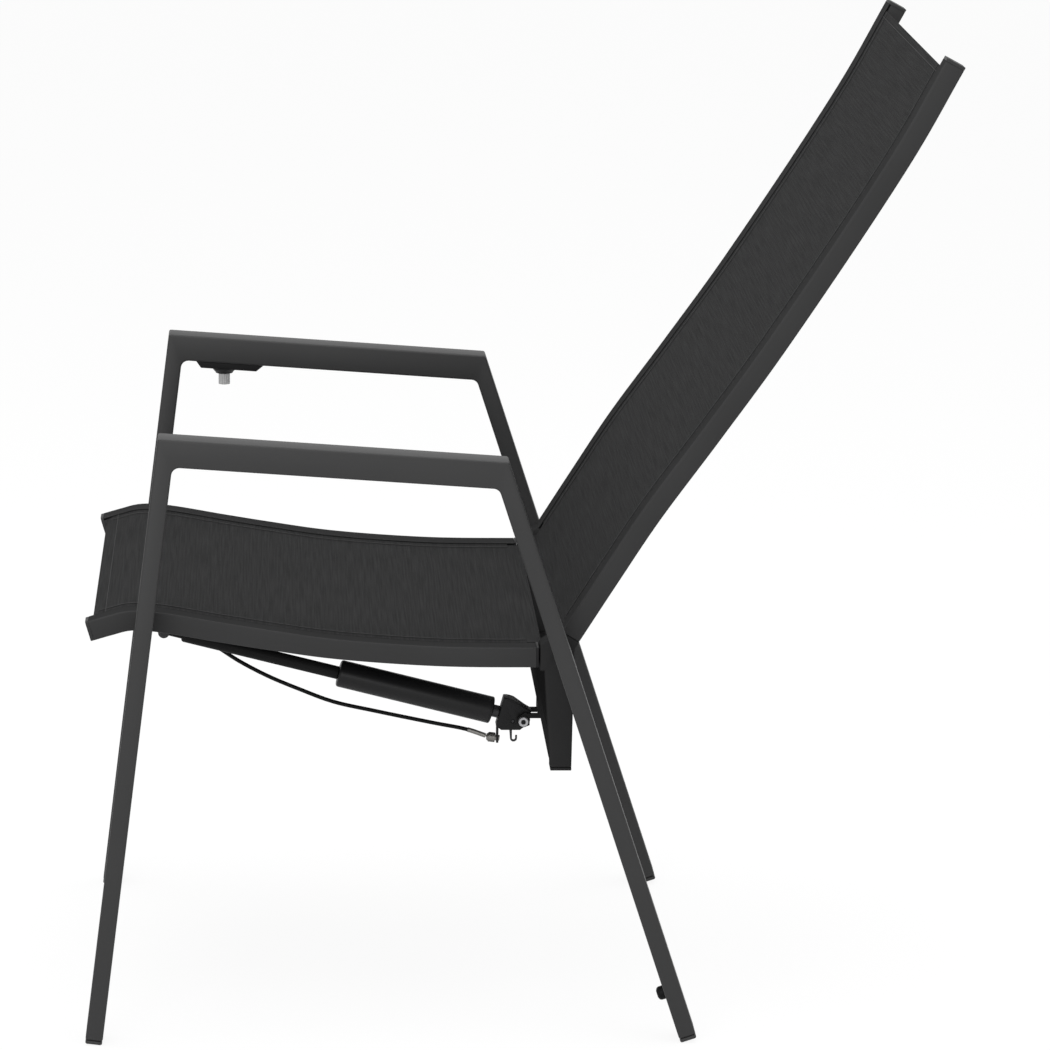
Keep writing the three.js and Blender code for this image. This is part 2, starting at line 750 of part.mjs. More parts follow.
function hemBarZ() {
  const below = slingTop - slingThickness - fitGap - hemBarRadius;
  return seatLineZ(hemBarY) + below / Math.cos(seatTipTilt);
}

// The seat's cloth behind its rails: it runs on a little, then turns down
function rearFlap() {
  const end = seatCurve.getPoint(1);
  const top = end.z + slingTop;
  const turnY = end.y + rearFlapSetback;
  const bendZ = top - rearFlapRadius;
  const inner = rearFlapRadius - slingThickness;
  const startY = end.y - slingEnd - slingThickness;
  const shape = new THREE.Shape();
  shape.moveTo(startY, top);
  shape.lineTo(turnY, top);
  shape.absarc(turnY, bendZ, rearFlapRadius, Math.PI / 2, 0, true);
  shape.lineTo(turnY + rearFlapRadius, bendZ - rearFlapDrop);
  shape.lineTo(turnY + inner, bendZ - rearFlapDrop);
  shape.absarc(turnY, bendZ, inner, 0, Math.PI / 2, false);
  shape.lineTo(startY, top - slingThickness);
  shape.closePath();
  return acrossChair(shape, -flapHalfX, flapHalfX, 0, 8);
}

// The back's cloth below its rails: a flat tongue between the seat rails' plates
function backFlap() {
  const foot = backCurve.getPoint(0);
  const way = backCurve.getTangent(0);
  const at = (along, high) => [
    foot.y + way.y * along - way.z * high, foot.z + way.z * along + way.y * high];
  return acrossChair(outline([
    at(-backFlapDrop, slingTop - slingThickness), at(-backFlapDrop, slingTop),
    at(slingEnd + slingThickness, slingTop), at(slingEnd + slingThickness, slingTop - slingThickness),
  ]), -flapHalfX, flapHalfX);
}

function buildSlings() {
  const seatPath = curveAt(0, seatRailLine);
  const frontTrim = (hemBarY - seatRailLine[0][0]) / Math.cos(seatTipTilt);
  const seat = cut(
    solid(sweep(slingSection(), seatPath, seatRailSteps)),
    hemTrim(seatPath, 0, -cutOverrun, frontTrim), hemTrim(seatPath, 1, -slingEnd, cutOverrun));
  place('seat_sling', geometryOf(seat.add(solid(hemWrap())).add(solid(rearFlap()))), 'sling');
  const backPath = curveAt(0, backRailLine);
  const back = cut(
    solid(sweep(slingSection(), backPath, backRailSteps)),
    hemTrim(backPath, 0, -cutOverrun, slingEnd), hemTrim(backPath, 1, -slingEnd, cutOverrun));
  place('back_sling', geometryOf(back.add(solid(backFlap()))), 'sling');
}

// A round tube between the rails, plugged into neither: its ends meet their inner faces
function crossTube(diameter, y, z) {
  const outer = roundAcross(diameter, -railInnerX + fitGap, railInnerX - fitGap, y, z);
  const bore = roundAcross(diameter - 2 * tubeWall, -overallWidth, overallWidth, y, z);
  return cut(solid(outer), bore);
}

// The point of the back rails' centreline at a height, and the way to the rear of the rail there
function backPoint(z) {
  let best = 0;
  const samples = 400;
  for (let i = 0; i <= samples; i += 1) {
    if (Math.abs(backCurve.getPoint(i / samples).z - z) < Math.abs(backCurve.getPoint(best).z - z)) {
      best = i / samples;
    }
  }
  const point = backCurve.getPoint(best);
  const way = backCurve.getTangent(best);
  return { y: point.y, z: point.z, rearY: way.z, rearZ: -way.y };
}

function backCrossbar(z) {
  const at = backPoint(z);
  return crossTube(crossbarDiameter, at.y + at.rearY * barSinkDepth, at.z + at.rearZ * barSinkDepth);
}

const frontBarZ = seatLineZ(seatFrontBarY) - barSinkDepth;
const rearBarZ = seatLineZ(seatRearBarY) - barSinkDepth;
const springFrontY = seatFrontBarY - springFrontAhead;
const springFrontZ = frontBarZ - springFrontDrop;

function buildCrossbars() {
  place('front_hem_bar', geometryOf(crossTube(hemBarRadius * 2, hemBarY, hemBarZ())), 'frame');
  place('seat_front_crossbar', geometryOf(crossTube(crossbarDiameter, seatFrontBarY, frontBarZ)), 'frame');
  place('seat_rear_crossbar', geometryOf(crossTube(crossbarDiameter, seatRearBarY, rearBarZ)), 'frame');
  place('back_lower_crossbar', geometryOf(backCrossbar(pivotZ + backLowerBarRise)), 'frame');
  place('back_upper_crossbar', geometryOf(backCrossbar(pivotZ + backUpperBarRise)), 'frame');
}

// Lever: a square head under the back rail round the pivot, and a tapering tube below
function leverShape() {
  const foot = backCurve.getPoint(0);
  const way = backCurve.getTangent(0);
  const corner = (side) => [
    foot.y - way.y * fitGap + (side * way.z * railDepth) / 2,
    foot.z - way.z * fitGap - (side * way.y * railDepth) / 2];
  const low = leverBottomZ + leverCapThickness + fitGap;
  const headLow = pivotZ - leverHeadDrop;
  return outline([
    [pivotY - leverBottomAhead, low], [pivotY + leverBottomBehind, low],
    [pivotY + leverTopBehind, headLow], [pivotY + leverTopBehind, pivotZ], corner(1), corner(-1),
    [pivotY - leverHeadAhead, pivotZ + leverShoulderRise], [pivotY - leverHeadAhead, headLow],
    [pivotY - leverTopAhead, headLow]]);
}

function buildLevers() {
  const outer = solid(acrossChair(leverShape(), railInnerX, railOuterX, railEdge));
  const boreFront = pivotY - leverBottomAhead + leverWall;
  const boreRear = pivotY + leverBottomBehind - leverWall;
  const boreTop = pivotZ - 2 * leverKnuckleDrop;
  const bore = acrossChair(outline([
    [boreFront, leverBottomZ - cutOverrun], [boreRear, leverBottomZ - cutOverrun],
    [boreRear, leverBottomZ], [pivotY + leverTopBehind - leverWall, boreTop],
    [pivotY - leverTopAhead + leverWall, boreTop], [boreFront, leverBottomZ],
  ]), railInnerX + leverWall, railOuterX - leverWall);
  const bushHole = roundAcross(
    boltDiameter + 2 * (bushWall + 2 * fitGap), railInnerX - cutOverrun, railOuterX + cutOverrun,
    pivotY, pivotZ);
  placePair('back_lever', cut(outer, bore, bushHole), 'frame');
  const capTop = leverBottomZ + leverCapThickness;
  const front = pivotY - leverBottomAhead;
  const rear = pivotY + leverBottomBehind;
  const cap = boxBetween(railInnerX, railOuterX, front, rear, leverBottomZ, capTop);
  const inset = leverWall + fitGap;
  const plug = boxBetween(
    railInnerX + inset, railOuterX - inset, front + inset, rear - inset, capTop - fitGap,
    capTop + leverCapPlug);
  placePair('lever_cap', joined(cap, plug), 'plastic');
  const bush = cut(
    solid(roundAcross(
      boltDiameter + 2 * (bushWall + fitGap), railInnerX, railOuterX, pivotY, pivotZ)),
    roundAcross(
      boltDiameter + 2 * fitGap, railInnerX - cutOverrun, railOuterX + cutOverrun, pivotY, pivotZ));
  placePair('pivot_bush', bush, 'plastic');
}

// Tab of the lever bar: round about the rear pin, its root let into the bar's front wall
function tabShape() {
  const rearY = leverBarFrontY + leverBarDepth * 0.6;
  const joinZ = leverBarBottomZ + tubeWall / 2;
  const shape = new THREE.Shape();
  shape.absarc(springRearY, springRearZ, rearTabRadius, Math.PI * 0.6, Math.PI * 1.7, false);
  shape.lineTo(rearY, springRearZ + rearTabRadius * 0.4);
  shape.lineTo(rearY, joinZ);
  shape.lineTo(leverBarFrontY + tubeWall / 2, joinZ);
  shape.lineTo(leverBarFrontY + tubeWall / 2, joinZ + tabRise);
  shape.closePath();
  return shape;
}

// The bar between the levers, with two tabs that carry the spring's rear pin
function buildLeverBar() {
  const lowX = -railInnerX + fitGap;
  const section = outline(roundedRect(leverBarDepth, leverBarHeight, railEdge));
  const bar = acrossChair(section, lowX, -lowX);
  const midY = leverBarFrontY + leverBarDepth / 2;
  const midZ = leverBarBottomZ + leverBarHeight / 2;
  bar.translate(0, midY, midZ);
  const bore = acrossChair(outline(roundedRect(
    leverBarDepth - 2 * tubeWall, leverBarHeight - 2 * tubeWall, tubeWall)), -overallWidth, overallWidth);
  bore.translate(0, midY, midZ);
  const hole = roundAcross(
    rearPinDiameter + 2 * fitGap, -overallWidth, overallWidth, springRearY, springRearZ, boltSides);
  const tabs = solid(acrossChair(tabShape(), tabLowX, tabHighX))
    .add(solid(acrossChair(tabShape(), -tabHighX, -tabLowX)));
  place('lever_crossbar', geometryOf(cut(solid(bar).subtract(solid(bore)).add(tabs), hole)), 'frame');
}

// Plate along the inner side of the seat rail's end, round about the pivot
function hingePlateShape() {
  const end = seatCurve.getPoint(1);
  const low = end.z - railDepth / 2 + railEdge;
  const frontY = pivotY - hingePlateAhead;
  const shape = new THREE.Shape();
  shape.moveTo(frontY, low);
  shape.absarc(pivotY, pivotZ, hingePlateRadius, -Math.PI * 0.4, Math.PI * 0.75, false);
  shape.lineTo(end.y, pivotZ - hingePlateTopDrop);
  shape.lineTo(frontY, pivotZ - hingePlateTopDrop);
  shape.closePath();
  return shape;
}

// Everything on one bolt through a leg, from the rail's inner face outwards
function buildBolts() {
  const boltHole = boltDiameter + 2 * fitGap;
  const plate = cut(
    solid(acrossChair(hingePlateShape(), plateLowX, plateHighX, 0, 8)),
    roundAcross(boltHole, 0, overallWidth, pivotY, pivotZ, boltSides));
  placePair('hinge_plate', plate, 'frame');
  const ring = (y, z) => cut(
    solid(roundAcross(spacerDiameter, railOuterX + fitGap, frameInnerX - fitGap, y, z)),
    roundAcross(boltHole, 0, overallWidth, y, z, boltSides));
  placePair('pivot_spacer', ring(pivotY, pivotZ), 'plastic');
  placePair('front_spacer', ring(frontBoltY, frontBoltZ), 'plastic');
  const bolt = (headHigh, y, z) => {
    const nutLow = frameInnerX + tubeWall + fitGap;
    return joined(
      roundAcross(boltHeadDiameter, headHigh - boltHeadHeight, headHigh, y, z, boltSides),
      roundAcross(boltDiameter, headHigh - boltHeadHeight / 2, nutLow + nutHeight * 1.5, y, z, boltSides),
      roundAcross(nutDiameter, nutLow, nutLow + nutHeight, y, z, 6));
  };
  placePair('seat_bolt', bolt(railInnerX - fitGap, frontBoltY, frontBoltZ), 'rod');
  placePair('pivot_bolt', bolt(plateLowX - fitGap, pivotY, pivotZ), 'rod');
}

// Along the gas spring: a lathe turned about its line, distances from the front eye
const springRun = new THREE.Vector3(0, springRearY - springFrontY, springRearZ - springFrontZ);
const springLength = springRun.length();
const springTilt = Math.atan2(springRun.z, springRun.y);
const cylinderEnd = springLength - cylinderSetback;
const extensionEnd = cylinderEnd - cylinderLength;
const headStart = springLength - headFaceSetback;

function alongSpring(geometry) {
  geometry.rotateX(springTilt);
  geometry.translate(0, springFrontY, springFrontZ);
  return geometry;
}

function turned(profile, sides = roundSides) {
  return new THREE.LatheGeometry(profile.map(([r, d]) => new THREE.Vector2(r, d)), sides);
}

function buildSpringFront() {
  const hole = roundAcross(pinDiameter + 2 * fitGap, -overallWidth, overallWidth, 0, 0, boltSides);
  const eye = roundAcross(eyeRadius * 2, -eyeThickness / 2, eyeThickness / 2, 0, 0);
  const joint = extensionEnd - fitGap;
  const shoulder = extensionDiameter / 2 - neckShoulder;
  const body = joined(eye, turned([
    [0, eyeRadius * 0.7], [frontNeckDiameter / 2, eyeRadius * 0.7], [frontNeckDiameter / 2, frontNeckEnd],
    [shoulder, frontNeckEnd], [extensionDiameter / 2, frontNeckEnd + neckShoulder],
    [extensionDiameter / 2, joint], [0, joint]]));
  place('spring_extension', alongSpring(geometryOf(cut(body, hole))), 'spring');
  const bar = (diameter, lowX, highX) => roundAcross(
    diameter, lowX, highX, springFrontY, springFrontZ, boltSides);
  const side = eyeThickness / 2 + tabThickness + 2 * fitGap;
  place('spring_front_pin', geometryOf(joined(
    bar(pinDiameter, -side - pinHeadHeight, side + pinHeadHeight),
    bar(pinHeadDiameter, side, side + pinHeadHeight),
    bar(pinHeadDiameter, -side - pinHeadHeight, -side))), 'rod');
}

// Two ears hanging from the front crossbar round the spring's front eye
function buildFrontBracket() {
  const saddle = crossbarDiameter / 2 + fitGap;
  let body = null;
  [-1, 1].forEach((side) => {
    const near = side * (eyeThickness / 2 + fitGap);
    const far = side * (eyeThickness / 2 + fitGap + tabThickness);
    const ear = new THREE.Shape();
    ear.absarc(springFrontY, springFrontZ, earRadius, Math.PI, Math.PI * 2, false);
    ear.lineTo(seatFrontBarY + crossbarDiameter * 0.8, frontBarZ - saddle * 0.6);
    ear.lineTo(seatFrontBarY - crossbarDiameter * 0.8, frontBarZ - saddle * 0.6);
    ear.closePath();
    const plate = solid(acrossChair(ear, Math.min(near, far), Math.max(near, far)));
    body = body ? body.add(plate) : plate;
  });
  const reach = eyeThickness / 2 + tabThickness + fitGap;
  const bridge = boxBetween(
    -reach, reach, seatFrontBarY - crossbarDiameter * 0.75, seatFrontBarY + crossbarDiameter * 0.75,
    frontBarZ - saddle - tabThickness, frontBarZ - saddle * 0.6);
  body = body.add(solid(bridge));
  const holes = [
    roundAcross(saddle * 2, -overallWidth, overallWidth, seatFrontBarY, frontBarZ),
    roundAcross(
      pinDiameter + 2 * fitGap, -overallWidth, overallWidth, springFrontY, springFrontZ, boltSides)];
  place('spring_front_bracket', geometryOf(cut(body, ...holes)), 'frame');
}

function buildCylinder() {
  const outer = cylinderDiameter / 2;
  const bore = outer - cylinderWall;
  const start = extensionEnd;
  const end = cylinderEnd;
  const floor = start + cylinderWall * 3;
  place('gas_cylinder', alongSpring(turned([
    [0, start], [outer - cylinderRound, start], [outer, start + cylinderRound], [outer, end],
    [bore, end], [bore, floor], [0, floor]])), 'spring');
  const glandLow = end - glandThickness;
  const rodBore = rodDiameter / 2 + fitGap;
  const collarHole = rodCollarDiameter / 2 + fitGap;
  place('cylinder_gland', alongSpring(turned([
    [rodBore, glandLow], [bore - fitGap, glandLow], [bore - fitGap, end + fitGap], [outer, end + fitGap],
    [outer, end + cylinderWall], [outer - cylinderRound, end + cylinderWall + cylinderRound / 2],
    [collarHole, end + cylinderWall + cylinderRound / 2], [rodBore, end + cylinderWall],
    [rodBore, glandLow]])), 'spring');
}

function buildRod() {
  const rod = rodDiameter / 2;
  const collar = rodCollarDiameter / 2;
  const pistonAt = cylinderEnd - pistonDepth;
  const collarStart = cylinderEnd + cylinderWall + cylinderRound / 2 + runGap;
  const rodEnd = headStart + rodThread;
  place('piston_rod', alongSpring(turned([
    [0, pistonAt], [pistonDiameter / 2, pistonAt], [pistonDiameter / 2, pistonAt + pistonLength],
    [rod, pistonAt + pistonLength], [rod, collarStart], [collar, collarStart],
    [collar, headStart - fitGap], [rod, headStart - fitGap], [rod, rodEnd], [0, rodEnd]])), 'rod');
}

// Cast head on the rod's end, between the tabs of the lever bar
function headShape() {
  const at = (ahead, rise) => [springRearY - ahead, springRearZ + rise];
  const shape = new THREE.Shape();
  shape.moveTo(...at(headTopAhead, headTopRise));
  shape.quadraticCurveTo(
    ...at(headTopAhead - headCornerRadius, headTopRise + headCornerRadius / 4),
    ...at(headCrownAhead, headCrownRise));
  shape.lineTo(...at(-headTailBehind, headTailRise));
  shape.lineTo(...at(-headHeelBehind, headHeelRise));
  shape.absarc(springRearY, springRearZ, headEyeRadius, Math.PI * 0.2, -Math.PI * 0.4, true);
  shape.lineTo(...at(headToeAhead, headLowRise));
  shape.lineTo(...at(headLowAhead, headLowRise));
  shape.lineTo(...at(headShoulderAhead, headShoulderRise));
  shape.closePath();
  return shape;
}

// A lug on the head's side, down to the cable adjuster it holds
function adjusterLug() {
  const radius = adjusterDiameter / 2;
  const lugY = adjusterY + adjusterLength / 2 - adjusterNeck / 2;
  const lug = boxBetween(
    adjusterSide - radius, headHalfWidth, lugY - adjusterShelf / 2, lugY + adjusterShelf / 2,
    adjusterZ - radius, springRearZ + headShoulderRise);
  const hole = new THREE.CylinderGeometry(
    adjusterNeckRadius + fitGap, adjusterNeckRadius + fitGap, adjusterLength, roundSides);
  return solid(lug).subtract(solid(atAdjuster(hole)));
}

function atAdjuster(geometry) {
  geometry.rotateX(springTilt / 2);
  geometry.translate(adjusterSide, adjusterY, adjusterZ);
  return geometry;
}

function buildHead() {
  const block = solid(acrossChair(headShape(), -headHalfWidth, headHalfWidth, headEdge));
  const pinHole = roundAcross(
    rearPinDiameter + 2 * headPinClearance, -overallWidth, overallWidth, springRearY, springRearZ);
  const screw = rodDiameter / 2 + fitGap;
  const screwEnd = headStart + rodThread + fitGap;
  const rodHole = alongSpring(turned([
    [0, headStart - cutOverrun], [screw, headStart - cutOverrun], [screw, screwEnd], [0, screwEnd]]));
  const faceCut = alongSpring(boxBetween(
    -overallWidth, overallWidth, headStart - cutOverrun, headStart, -pistonDiameter, pistonDiameter));
  const slot = boxBetween(
    -slotHalfWidth, slotHalfWidth, leverPinY - slotAhead, leverPinY + slotBehind,
    springRearZ - cutOverrun, leverPinZ + releaseBossRadius + runGap);
  const pin = roundAcross(
    leverPinDiameter + 2 * fitGap, -overallWidth, overallWidth, leverPinY, leverPinZ, boltSides);
  const body = cut(block, pinHole, rodHole, faceCut, slot, pin);
  place('release_head', geometryOf(body.add(adjusterLug())), 'plastic');
}

// Bolt that pins the head between the tabs, with a socket in its head and a nut on the far side
function buildRearPin() {
  const reach = tabHighX + fitGap;
  const end = reach + rearPinHeadHeight;
  const bar = (diameter, lowX, highX, count) => roundAcross(
    diameter, lowX, highX, springRearY, springRearZ, count);
  const whole = joined(
    bar(rearPinDiameter, -end, end, boltSides), bar(rearPinHead, reach, end, roundSides),
    bar(rearPinHead, -end, -reach, 6));
  const socket = bar(rearPinSocket, reach + rearPinHeadHeight / 3, end + cutOverrun, 6);
  place('spring_rear_pin', geometryOf(cut(whole, socket)), 'steel');
}

// Release lever: an eye on its pin, a stem and a hook that turns up to the rear
function releaseLeverShape() {
  const frontY = leverPinY - hookAhead;
  const bendY = frontY + hookRadius;
  const bendZ = leverPinZ - hookDrop + hookRadius;
  const inner = hookRadius - hookWall;
  const shape = new THREE.Shape();
  shape.absarc(leverPinY, leverPinZ, releaseBossRadius, 0, Math.PI, false);
  shape.lineTo(frontY, bendZ);
  shape.absarc(bendY, bendZ, hookRadius, Math.PI, Math.PI * 2, false);
  shape.lineTo(bendY + hookRadius, bendZ + hookLip);
  shape.lineTo(bendY + inner, bendZ + hookLip);
  shape.absarc(bendY, bendZ, inner, 0, Math.PI, true);
  shape.lineTo(bendY - inner, leverPinZ - releaseBossRadius);
  shape.closePath();
  return shape;
}

function buildReleaseLever() {
  const bar = (diameter, reach) => roundAcross(diameter, -reach, reach, leverPinY, leverPinZ, boltSides);
  const plate = acrossChair(releaseLeverShape(), -releasePlate / 2, releasePlate / 2, 0, 6);
  const hole = bar(leverPinDiameter + 2 * fitGap, overallWidth);
  place('release_lever', geometryOf(cut(solid(plate), hole)), 'plastic');
  place('release_lever_pin', geometryOf(solid(bar(leverPinDiameter, headHalfWidth - fitGap))), 'rod');
}

// Knurled barrel that the cable's sleeve ends in
function buildAdjuster() {
  const radius = adjusterDiameter / 2;
  const bore = adjusterBore / 2;
  const half = adjusterLength / 2;
  const barrel = turned([
    [bore, -half], [adjusterNeckRadius, -half], [radius, -half * 0.7], [radius, half - adjusterNeck],
    [adjusterNeckRadius, half - adjusterNeck], [adjusterNeckRadius, half], [bore, half], [bore, -half],
  ], boltSides);
  place('cable_adjuster', atAdjuster(barrel), 'rod');
}

// Route of the release cable, from the adjuster along the spring and up inside leg and arm
function hangingCable() {
  const start = new THREE.Vector3(
    adjusterSide, adjusterY - adjusterLength / 2 - 3 * fitGap, adjusterZ + adjusterLift);
  const bend = new THREE.Vector3(
    -cableBendSide, springFrontY + cableBendSetback, springFrontZ - cableBendDrop);
  const hanging = hangShares.map((share, i) => {
    const point = start.clone().lerp(bend, share);
    return [adjusterSide - hangSides[i], point.y, point.z - hangSags[i]];
  });
  return [start.toArray(), ...hanging, bend.toArray()];
}

function crossingCable() {
  const over = crossShares.map((share, i) => [
    -frameInnerX * share, seatFrontBarY + crossSetbacks[i], grommetZ + crossLifts[i]]);
  const through = [grommetRunIn, grommetRunIn * 0.3, -grommetRunOut].map((ahead) => [
    -frameInnerX + ahead, grommetY, grommetZ]);
  return [...over, ...through];
}

function hiddenCable() {
  const armStart = armUnderZ(legCentreAt(frontLegFootY, frontLegLeanShare, armFrontTopZ));
  const up = legShares.map((share, i) => {
    const z = grommetZ + (armStart - grommetZ) * share;
    return [-frameMidX + (i ? 0 : grommetLip / 6), legCentreAt(frontLegFootY, frontLegLeanShare, z), z];
  });
  const along = armAheads.map((ahead, i) => {
    const y = cableDropY - ahead;
    return [-frameMidX, y, armUnderZ(y) + armDepth / 2 - armDrops[i]];
  });
  const out = armExits.map((rise) => [-frameMidX, cableDropY, armUnderZ(cableDropY) + rise]);
  return [...up, ...along, ...out];
}

function buildCable() {
  const route = [...hangingCable(), ...crossingCable(), ...hiddenCable()];
  const curve = new THREE.CatmullRomCurve3(
    route.map((point) => new THREE.Vector3(...point)), false, 'centripetal');
  const section = new THREE.Shape();
  section.absarc(0, 0, cableDiameter / 2, 0, Math.PI * 2, false);
  place('release_cable', new THREE.ExtrudeGeometry(
    section, { steps: cableSteps, extrudePath: curve, curveSegments: 4 }), 'plastic');
  const bore = cableDiameter / 2 + 3 * fitGap;
  const lip = turned([
    [bore, -grommetLip / 4], [grommetLip / 2, -grommetLip / 4], [grommetLip / 2, -fitGap],
    [grommetDiameter / 2, -fitGap], [grommetDiameter / 2, grommetLength], [bore, grommetLength],
    [bore, -grommetLip / 4]], 16);
  lip.rotateZ(Math.PI / 2);
  lip.translate(-frameInnerX, grommetY, grommetZ);
  place('cable_grommet', lip, 'plastic');
}

// A round bar up the middle of the arm on the sitter's right, below the button
function upright(topRadius, lowRadius, lowZ, highZ) {
  const geometry = new THREE.CylinderGeometry(topRadius, lowRadius, highZ - lowZ, roundSides);
  geometry.rotateX(Math.PI / 2);
  geometry.translate(-frameMidX, buttonY, (lowZ + highZ) / 2);
  return geometry;
}

// Release housing: a shallow shell under the armrest, with a boss round the button
const bossLowZ = armUnderZ(buttonY) - bossDepth;

function housingShell(inset, lift) {
  const under = (y, drop) => [y, armUnderZ(y) - drop];
  return outline([
    under(housingFrontY + inset, fitGap - lift),
    under(housingFrontY + inset + housingNose, housingDepth - inset),
    under(housingRearY - inset - housingTail, housingDepth - inset),
    under(housingRearY - inset, fitGap - lift)]);
}

function buildReleaseUnit() {
  const lowX = -frameMidX - housingHalfWidth;
  const highX = -frameMidX + housingHalfWidth;
  const joinZ = armUnderZ(buttonY) - housingDepth / 2;
  const inside = acrossChair(
    housingShell(housingWall, cutOverrun / 4), lowX + housingWall, highX - housingWall);
  const cavity = buttonDiameter / 2 + buttonFlange + runGap;
  const body = cut(
    joined(
      acrossChair(housingShell(0, 0), lowX, highX, housingEdge),
      acrossChair(housingShell(0, 0), lowX + housingEdge, highX - housingEdge),
      upright(bossBaseRadius, bossRadius, bossLowZ, joinZ)),
    inside, upright(cavity, cavity, bossLowZ + housingWall, joinZ + cutOverrun),
    upright(buttonDiameter / 2 + runGap, buttonDiameter / 2 + runGap, bossLowZ - cutOverrun, joinZ));
  place('release_housing', geometryOf(body), 'plastic');
}

// Silver push button with ribs round it and a flange inside the housing
function buildButton() {
  const radius = buttonDiameter / 2;
  const points = [];
  for (let i = 0; i < buttonRibs * 2; i += 1) {
    const angle = (i * Math.PI) / buttonRibs;
    const reach = radius - (i % 2) * buttonRibDepth;
    points.push([-frameMidX + reach * Math.cos(angle), buttonY + reach * Math.sin(angle)]);
  }
  const flangeLow = bossLowZ + housingWall + fitGap;
  const lowZ = bossLowZ - buttonProud;
  const ribbed = new THREE.ExtrudeGeometry(outline(points), {
    depth: flangeLow + fitGap - lowZ, bevelEnabled: false });
  ribbed.translate(0, 0, lowZ);
  const flange = upright(radius + buttonFlange, radius + buttonFlange, flangeLow, flangeLow + buttonFlange);
  place('release_button', geometryOf(joined(ribbed, flange)), 'steel');
}

buildSideFrames();
buildFoot('front_foot', frontLegFootY, frontLegLeanShare);
buildFoot('rear_foot', rearLegFootY, rearLegLeanShare);
buildBumpers();
buildRails();
buildCrossbars();
buildLevers();
buildLeverBar();
buildBolts();
buildFrontBracket();
buildSpringFront();
buildCylinder();
buildRod();
buildHead();
buildRearPin();
buildReleaseLever();
buildAdjuster();
buildCable();
buildReleaseUnit();
buildButton();
buildSlings();

// The origin is on the floor below the middle of the chair's width and depth
const reach = new THREE.Box3().setFromObject(chair);
chair.position.y = -(reach.min.y + reach.max.y) / 2;

export default chair;
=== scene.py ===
"""Sling patio chair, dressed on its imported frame: two splayed side frames, a seat and a back of
grooved rails with stretched slings, a lockable gas spring and its release button and cable.
Sizes are in millimetres from the front to the rear (Y) and up (Z), and become metres in place()."""
import math

import bpy
from mathutils import Matrix, Vector


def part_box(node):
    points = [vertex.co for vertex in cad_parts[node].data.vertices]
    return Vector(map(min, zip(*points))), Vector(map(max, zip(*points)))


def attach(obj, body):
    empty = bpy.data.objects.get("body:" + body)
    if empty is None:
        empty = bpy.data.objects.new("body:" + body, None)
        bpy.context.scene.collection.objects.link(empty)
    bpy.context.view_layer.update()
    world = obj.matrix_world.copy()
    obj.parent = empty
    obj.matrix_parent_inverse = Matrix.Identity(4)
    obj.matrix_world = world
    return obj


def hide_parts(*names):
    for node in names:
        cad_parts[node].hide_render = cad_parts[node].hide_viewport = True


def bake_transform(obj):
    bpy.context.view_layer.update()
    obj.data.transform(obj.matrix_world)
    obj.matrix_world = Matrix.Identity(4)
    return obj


MM = 0.001
# The drawing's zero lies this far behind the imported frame's
REARWARD = 20.651

FRAME_OUTER = 300.0
FRAME_INNER = 267.0
FRAME_MIDDLE = (FRAME_INNER + FRAME_OUTER) / 2
RAIL_OUTER = 252.0
RAIL_INNER = 227.0
RAIL_MIDDLE = (RAIL_INNER + RAIL_OUTER) / 2
RAIL_WIDTH = RAIL_OUTER - RAIL_INNER
RAIL_DEPTH = 22.0
TUBE_WALL = 1.6
GAP = 0.3

# The arm's top starts at (Y, Z) and slopes; a leg's axis has its Y at the floor and its lean
ARM_FRONT_TOP = (-399.4, 664.0)
ARM_SLOPE = -0.0655
ARM_DEPTH = 29.6
LEG_DEPTH = 18.6
FRONT_LEG = (-470.8, 0.1211)
REAR_LEG = (168.9, -0.332)
INNER_FILLET = 8.5
FRAME_EDGE = 2.2
FOOT_THICKNESS = 4.6
FOOT_EDGE = 1.9

PIVOT = (27.5, 425.0)
FRONT_BOLT = (-415.5, 455.7)

# The rails' middle lines, from the front to the rear and from the pivot up
SEAT_STATIONS = (
    (-471.6, 445.9), (-452, 451.7), (-432.5, 456.6), (-406, 455.8), (-335.8, 444.2), (-286.6, 436.2),
    (-214.4, 425.9), (-100.5, 417.7), (-9.6, 416.6), (0.3, 416.65))
BACK_STATIONS = (
    (36.7, 439.9), (80, 509.5), (118.9, 570.7), (182, 659.4), (249, 755.9), (377, 959), (426.8, 1051.9))
SEAT_TILT = math.atan2(SEAT_STATIONS[1][1] - SEAT_STATIONS[0][1], SEAT_STATIONS[1][0] - SEAT_STATIONS[0][0])

# The slings; their wraps and the hem's lap are in degrees
GROOVE_X = 231.9
SLING_TOP = 8.9
SLING_THICKNESS = 1.2
CORD_CENTRE_V = 6.4
CORD_RADIUS = 2.5
CORD_WRAP = 250
HEM_BAR_Y = -462.6
HEM_BAR_RADIUS = 7.0
HEM_WRAP = 118
HEM_LAP = 3.438
HEM_HALF = 226.4
FRONT_TRIM = (HEM_BAR_Y - SEAT_STATIONS[0][0]) / math.cos(SEAT_TILT)
SLING_END = 8.0
FLAP_HALF = 220.8
REAR_TURN = 3.7
REAR_DROP = 16.0
REAR_RADIUS = 4.0
BACK_DROP = 17.0

